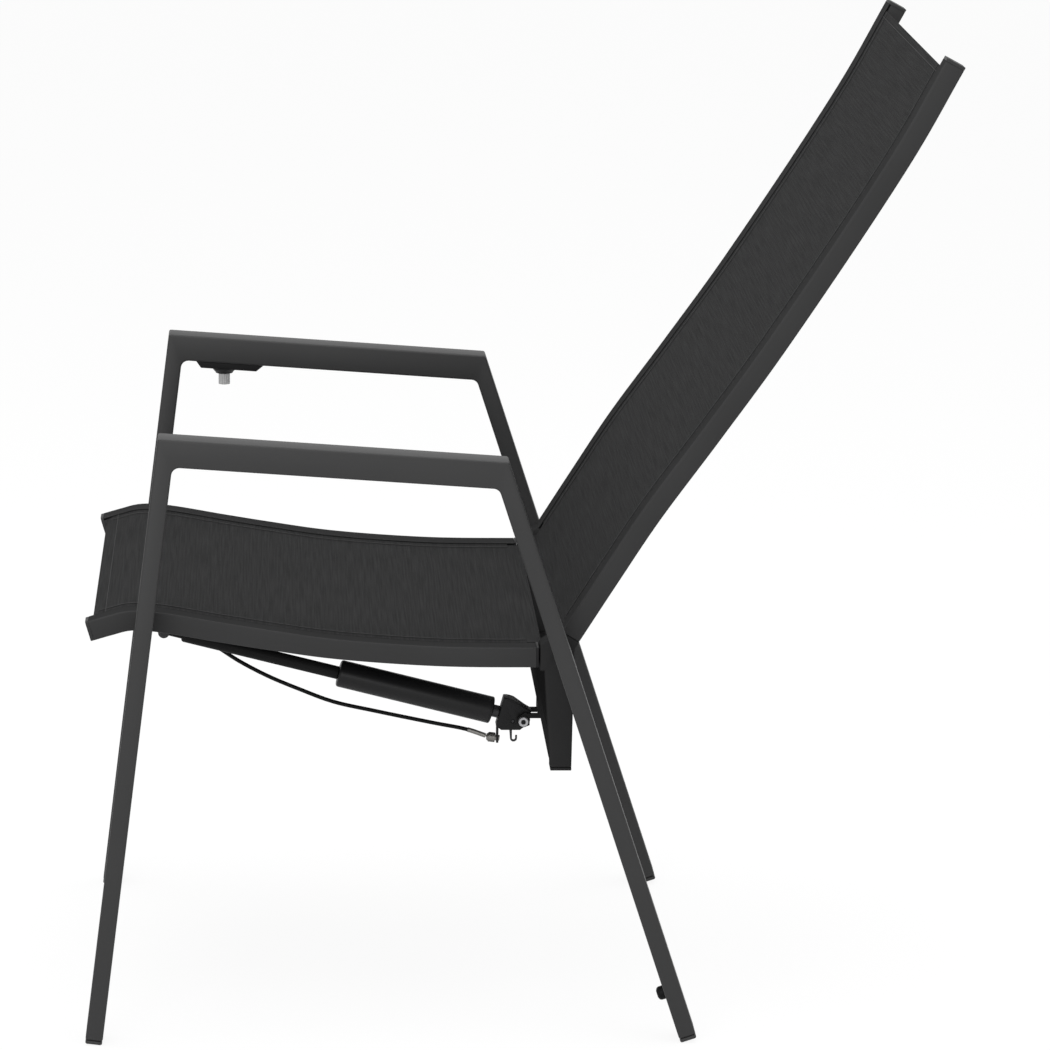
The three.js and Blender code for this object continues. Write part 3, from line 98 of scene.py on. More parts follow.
SPRING_FRONT = (-400.5, 381.0)
SPRING_REAR = (0.3, 280.2)
SPRING_LENGTH = math.dist(SPRING_FRONT, SPRING_REAR)
CYLINDER_TO_PIN = 38.5
CYLINDER_LENGTH = 174.6
CYLINDER_RADIUS = 15.25
HEAD_REACH = 27.6
CYLINDER_END = SPRING_LENGTH - CYLINDER_TO_PIN
CYLINDER_START = CYLINDER_END - CYLINDER_LENGTH
HEAD_START = SPRING_LENGTH - HEAD_REACH
ROD_RADIUS = 5.0
COLLAR_RADIUS = 7.0
SMALL_PIN_RADIUS = 3.0
ADJUSTER = (6.0, -33.1, 259.2)

# The release cable's route: under the spring, across to the leg, up inside leg and arm
CABLE_RADIUS = 2.3
CABLE_UNDER_SPRING = (
    (6.0, -41.3, 261.1), (4.0, -61.9, 267.7), (2.0, -100.5, 275.0), (2.0, -165.5, 288.8),
    (0.0, -212.4, 299.1), (-6.0, -249.3, 311.6), (-12.0, -285.0, 325.4), (-17.0, -317.3, 341.5),
    (-22.0, -341.7, 356.4), (-27.0, -353.9, 362.0))
CABLE_TO_LEG = (
    (-38.0, -374.0, 378.1), (-60.0, -388.0, 404.1), (-100.0, -394.0, 422.1), (-160.0, -398.0, 428.1),
    (-215.0, -406.0, 424.1), (-236.0, -416.0, 420.1), (-250.0, -420.2, 418.1), (-261.9, -420.2, 418.1))
CABLE_INSIDE = (
    (-274.5, -420.2, 418.1), (-281.2, -419.4, 424.6), (-283.5, -417.6, 439.6), (-283.5, -413.8, 470.5),
    (-283.5, -405.1, 542.5), (-283.5, -396.3, 615.4), (-283.5, -389.0, 642.5), (-283.5, -376.0, 646.9),
    (-283.5, -356.0, 644.9), (-283.5, -330.0, 640.9), (-283.5, -315.4, 636.8), (-283.5, -312.0, 630.6),
    (-283.5, -312.0, 625.6))

# Vertices closer than this, in metres, are welded
WELD_CURVE = 0.000001
WELD_TURNED = 0.00001
WELD_PACKED = 0.00002
SPAN_STEPS = 60
ACROSS = (1, 0, 0)

SIDES = (("left", 1), ("right", -1))

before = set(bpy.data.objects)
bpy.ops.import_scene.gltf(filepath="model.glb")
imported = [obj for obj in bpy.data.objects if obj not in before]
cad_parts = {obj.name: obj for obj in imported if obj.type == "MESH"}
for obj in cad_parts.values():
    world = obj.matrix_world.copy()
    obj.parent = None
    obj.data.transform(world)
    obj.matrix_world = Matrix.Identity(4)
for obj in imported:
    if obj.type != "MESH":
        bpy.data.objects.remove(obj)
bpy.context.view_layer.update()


# Places and lines

def place(x, y, z):
    """A point in millimetres, as drawn from the side, to its place in metres."""
    return Vector((x * MM, (y + REARWARD) * MM, z * MM))


def leg_y(leg, z, offset):
    foot, slope = leg
    return foot + slope * z + offset * math.hypot(slope, 1)


def leg_end(leg, offset, lift=0.0):
    """A point on a leg's square-cut lower end, or a lift above it."""
    tilt = leg[1] / math.hypot(leg[1], 1)
    z = lift + LEG_DEPTH / 2 * abs(tilt) - offset * tilt
    return leg_y(leg, z, offset), z


def arm_z(y, offset):
    return ARM_FRONT_TOP[1] + ARM_SLOPE * (y - ARM_FRONT_TOP[0]) - offset * math.hypot(ARM_SLOPE, 1)


def leg_meets_arm(leg, offset, arm_offset):
    """Where a leg's face crosses the arm's top or underside."""
    foot, slope = leg
    base = foot + offset * math.hypot(slope, 1)
    z = arm_z(base, arm_offset) / (1 - ARM_SLOPE * slope)
    return base + slope * z, z


def fine_line(points):
    """The centripetal curve through points, in short straight steps."""
    points = [2 * points[0] - points[1]] + points + [2 * points[-1] - points[-2]]
    fine = []
    for a, b, c, d in zip(points, points[1:], points[2:], points[3:]):
        knots = [0.0]
        for left, right in ((a, b), (b, c), (c, d)):
            knots.append(knots[-1] + math.sqrt((right - left).length))
        k0, k1, k2, k3 = knots
        for step in range(SPAN_STEPS):
            t = k1 + (k2 - k1) * step / SPAN_STEPS
            ab = a.lerp(b, (t - k0) / (k1 - k0))
            bc = b.lerp(c, (t - k1) / (k2 - k1))
            cd = c.lerp(d, (t - k2) / (k3 - k2))
            abc = ab.lerp(bc, (t - k0) / (k2 - k0))
            bcd = bc.lerp(cd, (t - k1) / (k3 - k1))
            fine.append(abc.lerp(bcd, (t - k1) / (k2 - k1)))
    fine.append(points[-2])
    return fine


def lengths_along(points, start=0.0):
    """The length of a line up to each of its points."""
    lengths = [start]
    for left, right in zip(points, points[1:]):
        lengths.append(lengths[-1] + (right - left).length)
    return lengths


def resampled(points, count):
    """Evenly spaced points along a fine line."""
    lengths = lengths_along(points)
    result = []
    at = 0
    for index in range(count + 1):
        wanted = lengths[-1] * index / count
        while at < len(points) - 2 and lengths[at + 1] < wanted:
            at += 1
        share = (wanted - lengths[at]) / (lengths[at + 1] - lengths[at])
        result.append(points[at].lerp(points[at + 1], min(max(share, 0), 1)))
    return result


def ways(points):
    """The direction of a side-drawn line at each of its points."""
    last = len(points) - 1
    return [(points[min(i + 1, last)] - points[max(i - 1, 0)]).normalized() for i in range(last + 1)]


def cut_line(points, start, end):
    """The stretch of a line that leaves out a length at each end."""
    finer = 4
    total = lengths_along(points)[-1]
    count = len(points) - 1
    fine = resampled(points, count * finer)
    kept = []
    gone = 0.0
    for left, right in zip(fine, fine[1:]):
        if start <= gone <= total - end:
            kept.append(left)
        gone += (right - left).length
    if end <= 0:
        kept.append(fine[-1])
    return resampled(kept, count)


def above_line(at, way, x, high, ahead=0.0):
    """A place at X, high above a point of a side-drawn line and ahead of it."""
    return place(x, at.y + way.y * ahead - way.z * high, at.z + way.z * ahead + way.y * high)


def side_line(points):
    return [Vector((0, y, z)) for y, z in points]


def drawn_box(node):
    """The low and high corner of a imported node's box, in the drawing's millimetres."""
    return [(at[0] / MM, at[1] / MM - REARWARD, at[2] / MM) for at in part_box(node)]


def arc(y, z, radius, first, last, steps):
    """Points on an arc about (y, z), its angles in degrees."""
    points = []
    for step in range(steps + 1):
        angle = math.radians(first + (last - first) * step / steps)
        points.append((y + radius * math.cos(angle), z + radius * math.sin(angle)))
    return points


# Modelling

def linked(name, data):
    piece = bpy.data.objects.new(name, data)
    bpy.context.collection.objects.link(piece)
    return piece


def meshed(name, points, edges, faces):
    mesh = bpy.data.meshes.new(name)
    mesh.from_pydata(points, edges, faces)
    return linked(name, mesh)


def only(piece):
    bpy.ops.object.select_all(action="DESELECT")
    piece.select_set(True)
    bpy.context.view_layer.objects.active = piece


def edit(piece):
    only(piece)
    bpy.ops.object.mode_set(mode="EDIT")
    bpy.ops.mesh.select_all(action="SELECT")


def leave_edit():
    bpy.ops.object.mode_set(mode="OBJECT")


def welded(piece, distance):
    """Welds close vertices and turns every face outward."""
    edit(piece)
    bpy.ops.mesh.remove_doubles(threshold=distance)
    bpy.ops.mesh.normals_make_consistent(inside=False)
    leave_edit()


def modified(piece, kind, **settings):
    """Applies a modifier with these settings."""
    only(piece)
    modifier = piece.modifiers.new(kind, kind)
    for name, value in settings.items():
        setattr(modifier, name, value)
    bpy.ops.object.modifier_apply(modifier=modifier.name)


def rounded(piece, width, segments=3):
    """Rounds the sharp edges, then shades what is left smooth."""
    if width > 0:
        modified(
            piece, "BEVEL", width=width * MM, segments=segments, limit_method="ANGLE",
            angle_limit=math.radians(30))
    soften(piece)


def soften(piece, angle=35):
    only(piece)
    bpy.ops.object.shade_smooth_by_angle(angle=math.radians(angle))


def slab(name, corners, low, high, edge=0.0, segments=3):
    """A side outline (Y, Z) as a solid from X low to X high with rounded edges."""
    piece = meshed(name, [place(low, y, z) for y, z in corners], [], [range(len(corners))])
    edit(piece)
    bpy.ops.mesh.extrude_region_move(TRANSFORM_OT_translate={"value": ((high - low) * MM, 0, 0)})
    bpy.ops.mesh.select_all(action="SELECT")
    bpy.ops.mesh.normals_make_consistent(inside=False)
    leave_edit()
    rounded(piece, edge, segments)
    return piece


def turned(name, profile, start, way, steps=48, smooth=35):
    """A profile of (radius, distance) turned about the line from start along way."""
    along = Vector(way).normalized()
    side = along.orthogonal().normalized()
    origin = place(*start)
    points = [origin + (side * r + along * d) * MM for r, d in profile]
    piece = meshed(name, points, [(i, i + 1) for i in range(len(points) - 1)], [])
    edit(piece)
    bpy.ops.mesh.spin(steps=steps, angle=math.tau, center=origin, axis=along)
    leave_edit()
    welded(piece, WELD_TURNED)
    soften(piece, smooth)
    return piece


def line_curve(name, points, dimensions):
    """A curve of straight steps through points in metres."""
    curve = bpy.data.curves.new(name, "CURVE")
    curve.dimensions = dimensions
    spline = curve.splines.new("POLY")
    spline.points.add(len(points) - 1)
    for point, at in zip(spline.points, points):
        point.co = (*at, 1)
    return curve


def curve_piece(name, curve, smooth):
    """A curve as a closed, clean mesh."""
    curve.use_fill_caps = True
    only(linked(name, curve))
    bpy.ops.object.convert(target="MESH")
    piece = bpy.context.object
    welded(piece, WELD_CURVE)
    soften(piece, smooth)
    return piece


def swept(name, corners, line, x):
    """A section, in millimetres across and up, swept along a side-drawn line at X."""
    outline = line_curve(name + "_section", [(u * MM, v * MM, 0) for u, v in corners], "2D")
    outline.splines[0].use_cyclic_u = True
    section = linked(name + "_section", outline)
    curve = line_curve(name, [place(x, at.y, at.z) for at in line], "3D")
    curve.twist_mode = "Z_UP"
    curve.bevel_mode = "OBJECT"
    curve.bevel_object = section
    piece = curve_piece(name, curve, 35)
    bpy.data.objects.remove(section)
    return piece


def tube(name, points, radius, sides=4):
    """A round tube along points in metres."""
    curve = line_curve(name, points, "3D")
    curve.bevel_depth = radius * MM
    curve.bevel_resolution = sides
    return curve_piece(name, curve, 60)


def ring(name, inner, outer, low, high, y, z, edge=0.4):
    """A ring across the chair from X low to X high, or a solid bar where its inner radius is 0."""
    profile = [
        (inner, low), (outer - edge, low), (outer, low + edge), (outer, high - edge),
        (outer - edge, high), (inner, high)]
    if inner > 0:
        profile.append(profile[0])
    return turned(name, profile, (0, y, z), ACROSS)


def round_bar(name, radius, low, high, y, z, edge=0.5):
    return ring(name, 0, radius, low, high, y, z, edge)


def hex_head(name, width, low, high, y, z, turn=0.0, edge=0.6):
    """A hexagon across the chair, its width from flat to flat, turned by an angle in degrees."""
    corners = arc(y, z, width / math.sqrt(3), turn, turn + 360, 6)
    return slab(name, corners[:6], low, high, edge, 2)


def cut_away(piece, tool):
    modified(piece, "BOOLEAN", object=tool, solver="EXACT")
    bpy.data.objects.remove(tool)
    soften(piece)
    return piece


def joined(name, *pieces):
    """Several pieces as one mesh with a name of its own."""
    only(pieces[0])
    for piece in pieces[1:]:
        piece.select_set(True)
    bpy.ops.object.join()
    piece = bpy.context.object
    piece.name = name
    return piece


def copied(piece, name):
    copy = piece.copy()
    copy.data = piece.data.copy()
    copy.name = name
    bpy.context.collection.objects.link(copy)
    return copy


def mirrored(piece, name):
    """A copy of a piece on the other side of the chair."""
    copy = copied(piece, name)
    for vertex in copy.data.vertices:
        vertex.co.x = -vertex.co.x
    edit(copy)
    bpy.ops.mesh.flip_normals()
    leave_edit()
    return copy


def refined(node, width=0.5, segments=2):
    """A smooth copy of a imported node, with its sharp edges eased."""
    piece = copied(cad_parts[node], node + "_part")
    piece.parent = None
    piece.data.materials.clear()
    edit(piece)
    bpy.ops.mesh.remove_doubles(threshold=WELD_PACKED)
    bpy.ops.mesh.dissolve_limited(angle_limit=math.radians(1))
    leave_edit()
    rounded(piece, width, segments)
    return piece


def finish(piece, material, slot, body, *nodes):
    """Gives a piece its material and body, and hides the nodes that it stands for; slot is not used."""
    piece.data.materials.clear()
    piece.data.materials.append(material)
    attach(piece, body)
    if nodes:
        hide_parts(*nodes)


def finish_pair(left, node, material, slot, body):
    """Finishes a left piece and its mirror copy, which stand for a pair of nodes."""
    right = mirrored(left, f"{node}_right_part")
    for piece, word in ((left, "left"), (right, "right")):
        finish(piece, material, slot, body, f"{node}_{word}")


# Materials

def shader(name, color, roughness, metallic=0.0, shine=0.5):
    material = bpy.data.materials.new(name)
    material.use_nodes = True
    surface = material.node_tree.nodes["Principled BSDF"]
    for socket, value in (
            ("Base Color", (*color, 1)), ("Roughness", roughness), ("Metallic", metallic),
            ("Specular IOR Level", shine)):
        surface.inputs[socket].default_value = value
    return material, surface


def object_noise(tree, scale, detail):
    where = tree.nodes.new("ShaderNodeTexCoord")
    noise = tree.nodes.new("ShaderNodeTexNoise")
    noise.inputs["Scale"].default_value = scale
    noise.inputs["Detail"].default_value = detail
    tree.links.new(where.outputs["Object"], noise.inputs["Vector"])
    return noise.outputs["Fac"]


def add_bump(tree, surface, height, distance, strength):
    """Raises the surface by a height map, its full height in millimetres."""
    bump = tree.nodes.new("ShaderNodeBump")
    bump.inputs["Distance"].default_value = distance * MM
    bump.inputs["Strength"].default_value = strength
    tree.links.new(height, bump.inputs["Height"])
    tree.links.new(bump.outputs["Normal"], surface.inputs["Normal"])


def ramp(tree, value, stops):
    """A value as a colour between two stops of (position, colour)."""
    band = tree.nodes.new("ShaderNodeValToRGB")
    for element, (position, color) in zip(band.color_ramp.elements, stops):
        element.position = position
        element.color = (*color, 1)
    tree.links.new(value, band.inputs["Fac"])
    return band.outputs["Color"]


def powder_coat(name, tone, shine):
    """Fine-grained coat whose tone drifts a little."""
    material, surface = shader(name, (tone, tone, tone), 0.5, shine=shine)
    stops = [(at, (shade, shade, shade * 1.01)) for at, shade in ((0.3, tone * 0.94), (0.7, tone * 1.07))]
    tree = material.node_tree
    tree.links.new(ramp(tree, object_noise(tree, 6, 3), stops), surface.inputs["Base Color"])
    add_bump(tree, surface, object_noise(tree, 900, 3), distance=0.05, strength=0.35)
    return material


def grained(name, color, roughness, metallic=0.0, shine=0.5, *, scale, detail, height, strength):
    """One colour with a fine grain, its height in millimetres."""
    material, surface = shader(name, color, roughness, metallic, shine)
    tree = material.node_tree
    add_bump(tree, surface, object_noise(tree, scale, detail), height, strength)
    return material


def smooth_black():
    material, surface = shader("smooth_black_paint", (0.01, 0.01, 0.0105), 0.4, shine=0.2)
    surface.inputs["Coat Weight"].default_value = 0.03
    surface.inputs["Coat Roughness"].default_value = 0.2
    return material


def wave_bands(tree, uv, axis, pitch):
    """Stripes along the piece's own U or V, with a pitch in millimetres."""
    stripes_per_unit = 20 / math.tau
    wave = tree.nodes.new("ShaderNodeTexWave")
    wave.bands_direction = axis
    wave.inputs["Scale"].default_value = 1 / (stripes_per_unit * pitch * MM)
    tree.links.new(uv, wave.inputs["Vector"])
    return wave.outputs["Fac"]


def combine(tree, operation, a, b):
    node = tree.nodes.new("ShaderNodeMath")
    node.operation = operation
    for socket, value in zip(node.inputs, (a, b)):
        if isinstance(value, (int, float)):
            socket.default_value = value
        else:
            tree.links.new(value, socket)
    return node.outputs[0]


def woven_sling():
    """Coated yarns: ribs along the sling, crossed by finer weft, with faint streaks across."""
    warp_pitch = 1.3
    weft_pitch = 0.9
    rib_height = 0.3
    dark = (0.0145, 0.0145, 0.0147)
    light = (0.0315, 0.0315, 0.0319)
    material, surface = shader("woven_sling", light, 0.85, shine=0.06)
    tree = material.node_tree
    uv = tree.nodes.new("ShaderNodeUVMap").outputs["UV"]
    warp = wave_bands(tree, uv, "X", warp_pitch)
    weft = wave_bands(tree, uv, "Y", weft_pitch)
    weave = combine(tree, "MULTIPLY", warp, combine(tree, "ADD", combine(tree, "MULTIPLY", weft, 0.5), 0.5))
    stretch = tree.nodes.new("ShaderNodeMapping")
    stretch.inputs["Scale"].default_value = (0.02, 1, 1)
    tree.links.new(uv, stretch.inputs["Vector"])
    streak = tree.nodes.new("ShaderNodeTexNoise")
    streak.inputs["Scale"].default_value = 600
    streak.inputs["Detail"].default_value = 2
    tree.links.new(stretch.outputs["Vector"], streak.inputs["Vector"])
    heather = combine(tree, "MULTIPLY", combine(tree, "SUBTRACT", streak.outputs["Fac"], 0.25), 1.2)
    tone = combine(tree, "ADD", combine(tree, "MULTIPLY", weave, 0.5), heather)
    tree.links.new(ramp(tree, tone, ((0.2, dark), (0.8, light))), surface.inputs["Base Color"])
    add_bump(tree, surface, weave, rib_height, 0.6)
    return material


rubber, _ = shader("cable_sleeve", (0.005, 0.005, 0.0052), 0.5, shine=0.1)
dull_zinc, _ = shader("dull_zinc", (0.2, 0.195, 0.185), 0.4, 0.8)
coat = powder_coat("anthracite_powder_coat", 0.031, 0.25)
rail_coat = powder_coat("anthracite_rail_coat", 0.034, 0.12)
lever_coat = powder_coat("anthracite_lever_coat", 0.028, 0.0)
dark_coat = powder_coat("black_powder_coat", 0.012, 0.06)
# Painted shade: a sheen-less copy of the rail coat for the rails' top faces, and a darker one for the lip
# beside the cloth
rail_top_painted_shade = powder_coat("painted_rail_top_shade", 0.036, 0.0)
lip_painted_shade = powder_coat("lip_painted_shade", 0.016, 0.0)
moulding = grained(
    "black_moulding", (0.008, 0.008, 0.0085), 0.55,
    shine=0.2, scale=1400, detail=2, height=0.03, strength=0.3)
spring_paint = smooth_black()
rod_steel, _ = shader("nitrided_rod", (0.02, 0.02, 0.022), 0.4, 0.4)
zinc = grained("bright_zinc", (0.42, 0.42, 0.43), 0.42, 0.6, scale=700, detail=2, height=0.02, strength=0.2)
satin, _ = shader("satin_button", (0.6, 0.6, 0.6), 0.5, 0.3)
weave = woven_sling()
thread = grained("sewing_thread", (0.02, 0.02, 0.0204), 0.85, scale=3000, detail=1, height=0.05, strength=0.4)
# Partly the seam thread's own colour and partly painted shade: the dark line beside a raised seam
seam_thread_and_shade, _ = shader("dark_seam_thread_and_painted_shade", (0.012, 0.012, 0.0122), 0.8)


# Side frames: one continuous welded arch on each side

def fillet(before, corner, after, radius, steps=8):
    """A rounded inner corner between two straight faces."""
    corner, before, after = (Vector(p) for p in (corner, before, after))
    one = (before - corner).normalized()
    two = (after - corner).normalized()
    half = one.angle(two) / 2
    centre = corner + (one + two).normalized() * radius / math.sin(half)
    start = corner + one * radius / math.tan(half) - centre
    end = corner + two * radius / math.tan(half) - centre
    turn = math.atan2(start.x * end.y - start.y * end.x, start.dot(end))
    first = math.degrees(math.atan2(start.y, start.x))
    return arc(centre.x, centre.y, radius, first, first + math.degrees(turn), steps)


def arch_corners():
    half = LEG_DEPTH / 2
    front_low = leg_end(FRONT_LEG, half, FOOT_THICKNESS)
    rear_low = leg_end(REAR_LEG, -half, FOOT_THICKNESS)
    front_inner = leg_meets_arm(FRONT_LEG, half, ARM_DEPTH)
    rear_inner = leg_meets_arm(REAR_LEG, -half, ARM_DEPTH)
    return [
        leg_end(FRONT_LEG, -half, FOOT_THICKNESS), front_low,
        *fillet(front_low, front_inner, rear_inner, INNER_FILLET),
        *fillet(front_inner, rear_inner, rear_low, INNER_FILLET),
        rear_low, leg_end(REAR_LEG, half, FOOT_THICKNESS),
        leg_meets_arm(REAR_LEG, half, 0), leg_meets_arm(FRONT_LEG, -half, 0)]


def build_side_frames():
    left = slab("side_frame_left", arch_corners(), FRAME_INNER, FRAME_OUTER, FRAME_EDGE, 4)
    right = mirrored(left, "side_frame_right")
    for piece, word in ((left, "left"), (right, "right")):
        finish(
            piece, coat, "frame_paint", "frame", f"front_leg_{word}", f"rear_leg_{word}",
            f"armrest_{word}")


# Rails with their grooves

def rail_section(side):
    """Section of a rail: the groove is on the side towards the other rail."""
    edge = 2.0
    groove_radius = 3.1
    groove_depth = 4.9
    mouth_height = 2.2
    mouth_edge = 0.3
    lip_thickness = 1.5
    lip_edge = 1.0
    lip_slope = 4.2
    nose_radius = 0.6
    nose_depth = 1.7
    nose_rise = 0.5
    half_width = RAIL_WIDTH / 2
    half_depth = RAIL_DEPTH / 2
    centre = half_width - groove_depth
    mouth_top = half_depth - lip_thickness
    mouth_low = mouth_top - mouth_height
    start = math.degrees(math.asin((mouth_low - CORD_CENTRE_V) / groove_radius))
    points = arc(-half_width + edge, -half_depth + edge, edge, 180, 270, 4)
    points += arc(half_width - edge, -half_depth + edge, edge, 270, 360, 4)
    points += [(half_width, mouth_low - mouth_edge), (half_width - mouth_edge, mouth_low)]
    points += arc(centre, CORD_CENTRE_V, groove_radius, start, -270, 12)
    points += [(centre, mouth_top), (half_width - lip_edge, mouth_top)]
    points += arc(half_width - nose_depth, mouth_top + nose_rise, nose_radius, -40, 60, 3)
    points.append((half_width - lip_slope, half_depth))
    points += arc(-half_width + edge, half_depth - edge, edge, 90, 180, 4)
    return [(-side * u, v) for u, v in points]


seat_line = resampled(fine_line(side_line(SEAT_STATIONS)), 110)
back_line = resampled(fine_line(side_line(BACK_STATIONS)), 130)


def paint_rail_top_shade(piece, side):
    """Paints shade on the rails' top, which lies in the cloth's shade: its top faces get a sheen-less shaded
    copy of the coat, and on the left rails the lip beside the cloth gets a darker painted shade.
    """
    lip_width = 4.3
    piece.data.materials.append(rail_top_painted_shade)
    piece.data.materials.append(lip_painted_shade)
    lip = (RAIL_INNER + lip_width) * MM
    for face in piece.data.polygons:
        outward = face.normal.x * side
        upward = face.normal.z - face.normal.y
        if abs(outward) < 0.4 and upward > 0.1:
            # Top faces get the painted shade; on the left rails those beside the cloth get the darker painted
            # shade
            face.material_index = 2 if side > 0 and face.center.x < lip else 1


def build_rails():
    for word, side in SIDES:
        for part, line, body in (("seat", seat_line, "frame"), ("back", back_line, "back")):
            rail = swept(f"{part}_rail_tube_{word}", rail_section(side), line, side * RAIL_MIDDLE)
            finish(rail, rail_coat, "frame_paint", body, f"{part}_rail_{word}")
            paint_rail_top_shade(rail, side)
        build_rear_plug(word, side)


def build_rear_plug(word, side):
    """The thin moulded plug on the rear end of a seat rail."""
    thickness = 2.6
    below = 10.7
    above = 10.9
    edge = 0.5
    end = seat_line[-1]
    near = end.y + GAP
    far = near + thickness
    corners = [(near, end.z - below), (far, end.z - below), (far, end.z + above), (near, end.z + above)]
    low, high = sorted((side * RAIL_INNER, side * RAIL_OUTER))
    plug = slab(f"seat_rail_rear_plug_{word}", corners, low, high, edge, 2)
    finish(plug, moulding, "black_plastic", "frame")


# Slings

def flat_half(width, high=0.0):
    """Points across half of a flat sheet, from the chair's middle out."""
    return [(width * index / 24, high) for index in range(25)]


def sling_profile():
    """Half of a sling's section: the flat cloth, then its turn round the edge cord."""
    turn = arc(GROOVE_X, CORD_CENTRE_V, CORD_RADIUS, 90, 90 - CORD_WRAP, 10)
    return flat_half(GROOVE_X, SLING_TOP) + turn[1:]


def sling_grid(name, line, section, start=0.0):
    """A sheet with the section laid across the chair at each point of the line, its width and length.
    Its weave begins at start, in millimetres along the cloth."""
    across = [(-u, v) for u, v in reversed(section[1:])] + list(section)
    run = [0.0]
    for (u0, v0), (u1, v1) in zip(across, across[1:]):
        run.append(run[-1] + math.hypot(u1 - u0, v1 - v0))
    along = lengths_along(line, start)
    verts = [above_line(at, way, u, v) for at, way in zip(line, ways(line)) for u, v in across]
    width = len(across)
    faces = []
    for row in range(len(line) - 1):
        for col in range(width - 1):
            low = row * width + col
            faces.append((low, low + 1, low + width + 1, low + width))
    piece = meshed(name, verts, [], faces)
    layer = piece.data.uv_layers.new(name="UVMap")
    for loop in piece.data.loops:
        row, col = divmod(loop.vertex_index, width)
        layer.data[loop.index].uv = (run[col] * MM, along[row] * MM)
    return piece, run[-1], along[-1] - start


def thickened(piece, thickness=SLING_THICKNESS, offset=-1):
    modified(piece, "SOLIDIFY", thickness=thickness * MM, offset=offset, use_even_offset=True)
    soften(piece, 50)


def hem_lines():
    """The seat's front hem: the cloth's way round the bar, up to its first point on the rails."""
    at = min(seat_line, key=lambda p: abs(p.y - HEM_BAR_Y))
    outer = HEM_BAR_RADIUS + GAP + SLING_THICKNESS
    centre_z = at.z + (SLING_TOP - outer) / math.cos(SEAT_TILT)
    last = 90 + math.degrees(SEAT_TILT) - HEM_LAP
    return side_line(arc(HEM_BAR_Y, centre_z, outer, last + HEM_WRAP, last, 24))


def rear_lines():
    """The seat cloth's way behind its rails: on a little, then down."""
    end = seat_line[-1]
    top = end.z + SLING_TOP
    turn_y = end.y + REAR_TURN
    bend_z = top - REAR_RADIUS
    points = [(end.y - SLING_END - SLING_THICKNESS, top), (end.y - SLING_END / 2, top)]
    points += arc(turn_y, bend_z, REAR_RADIUS, 90, 0, 12)
    points += [(turn_y + REAR_RADIUS, bend_z - REAR_DROP * share) for share in (0.3, 0.6, 1.0)]
    return side_line(points)


def tongue_lines():
    """The back cloth's way below its rails, on along their direction."""
    way = ways(back_line)[0]
    low = back_line[0] + Vector((0, -way.z, way.y)) * SLING_TOP - way * BACK_DROP
    length = SLING_END + SLING_THICKNESS + BACK_DROP
    return [low + way * length * step / 8 for step in range(9)]


def stitch_row(name, line, inset, body):
    """A row of raised stitches across a sling, an inset away from the start of its line."""
    length = 3.2
    gap = 1.2
    half_width = 0.45
    slope = 0.5
    rise = 0.3
    thickness = 0.25
    hem = 1.0
    half = GROOVE_X - CORD_RADIUS - hem
    near = cut_line(line, inset, 0)
    at = near[0]
    way = (near[1] - near[0]).normalized()
    rows = ((0.0, -rise), (slope, rise), (length - slope, rise), (length, -rise))
    verts = []
    faces = []
    count = int(2 * half / (length + gap))
    for index in range(count):
        start = -half + index * 2 * half / count
        base = len(verts)
        for x, high in rows:
            for ahead in (-half_width, half_width):
                verts.append(above_line(at, way, start + x, SLING_TOP + high, ahead))
        faces += [(low, low + 2, low + 3, low + 1) for low in (base, base + 2, base + 4)]
    piece = meshed(name, verts, [], faces)
    thickened(piece, thickness, 1)
    finish(piece, thread, "sling_fabric", body)


def pocket_seam(name, line, body):
    """The two raised seams beside the rails, where the cloth is closed round its edge cords; their thread's
    dark colour is partly its own and partly painted shade for the shade line beside the seam.
    """
    inset = 21.0
    radius = 0.8
    high = SLING_TOP + 0.3
    seams = []
    for word, side in SIDES:
        points = [above_line(at, way, side * (GROOVE_X - inset), high) for at, way in zip(line, ways(line))]
        seams.append(tube(f"{name}_{word}_side", points, radius, 3))
    finish(joined(name, *seams), seam_thread_and_shade, "sling_fabric", body)


def build_seat_sling(way):
    """The seat's cloth with its front hem round the bar and its rear flap."""
    roll_start = -20
    seat, width, length = sling_grid("seat_cloth", way, sling_profile())
    roll, _, roll_length = sling_grid("seat_roll", hem_lines(), flat_half(HEM_HALF), roll_start)
    rear, _, rear_length = sling_grid(
        "seat_rear_flap", rear_lines(), flat_half(FLAP_HALF), length - SLING_END)
    for piece in (seat, roll, rear):
        thickened(piece)
    seat = joined("seat_cloth", seat, roll, rear)
    finish(seat, weave, "sling_fabric", "frame", "seat_sling")


def build_back_sling(way):
    """The back's cloth with its lower tongue."""
    back, width, length = sling_grid("back_cloth", way, sling_profile())
    tongue, _, tongue_length = sling_grid("back_tongue", tongue_lines(), flat_half(FLAP_HALF), -BACK_DROP)
    thickened(back)
    thickened(tongue)
    back = joined("back_cloth", back, tongue)
    finish(back, weave, "sling_fabric", "back", "back_sling")


def build_slings():
    front_stitch_inset = 7
    top_stitch_inset = 16
    seat_way = cut_line(seat_line, FRONT_TRIM, SLING_END)
    back_way = cut_line(back_line, SLING_END, SLING_END)
    build_seat_sling(seat_way)
    build_back_sling(back_way)
    pocket_seam("seat_pocket_seams", seat_way, "frame")
    pocket_seam("back_pocket_seams", back_way, "back")
    stitch_row("seat_front_stitches", seat_line, FRONT_TRIM + front_stitch_inset, "frame")
    stitch_row("back_top_stitches", back_line, lengths_along(back_line)[-1] - top_stitch_inset, "back")


build_side_frames()
build_rails()
build_slings()


# Frame fittings

def eased(node, material, slot, body, width=0.5, segments=2):
    """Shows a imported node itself, with its sharp edges eased."""
    finish(refined(node, width, segments), material, slot, body, node)


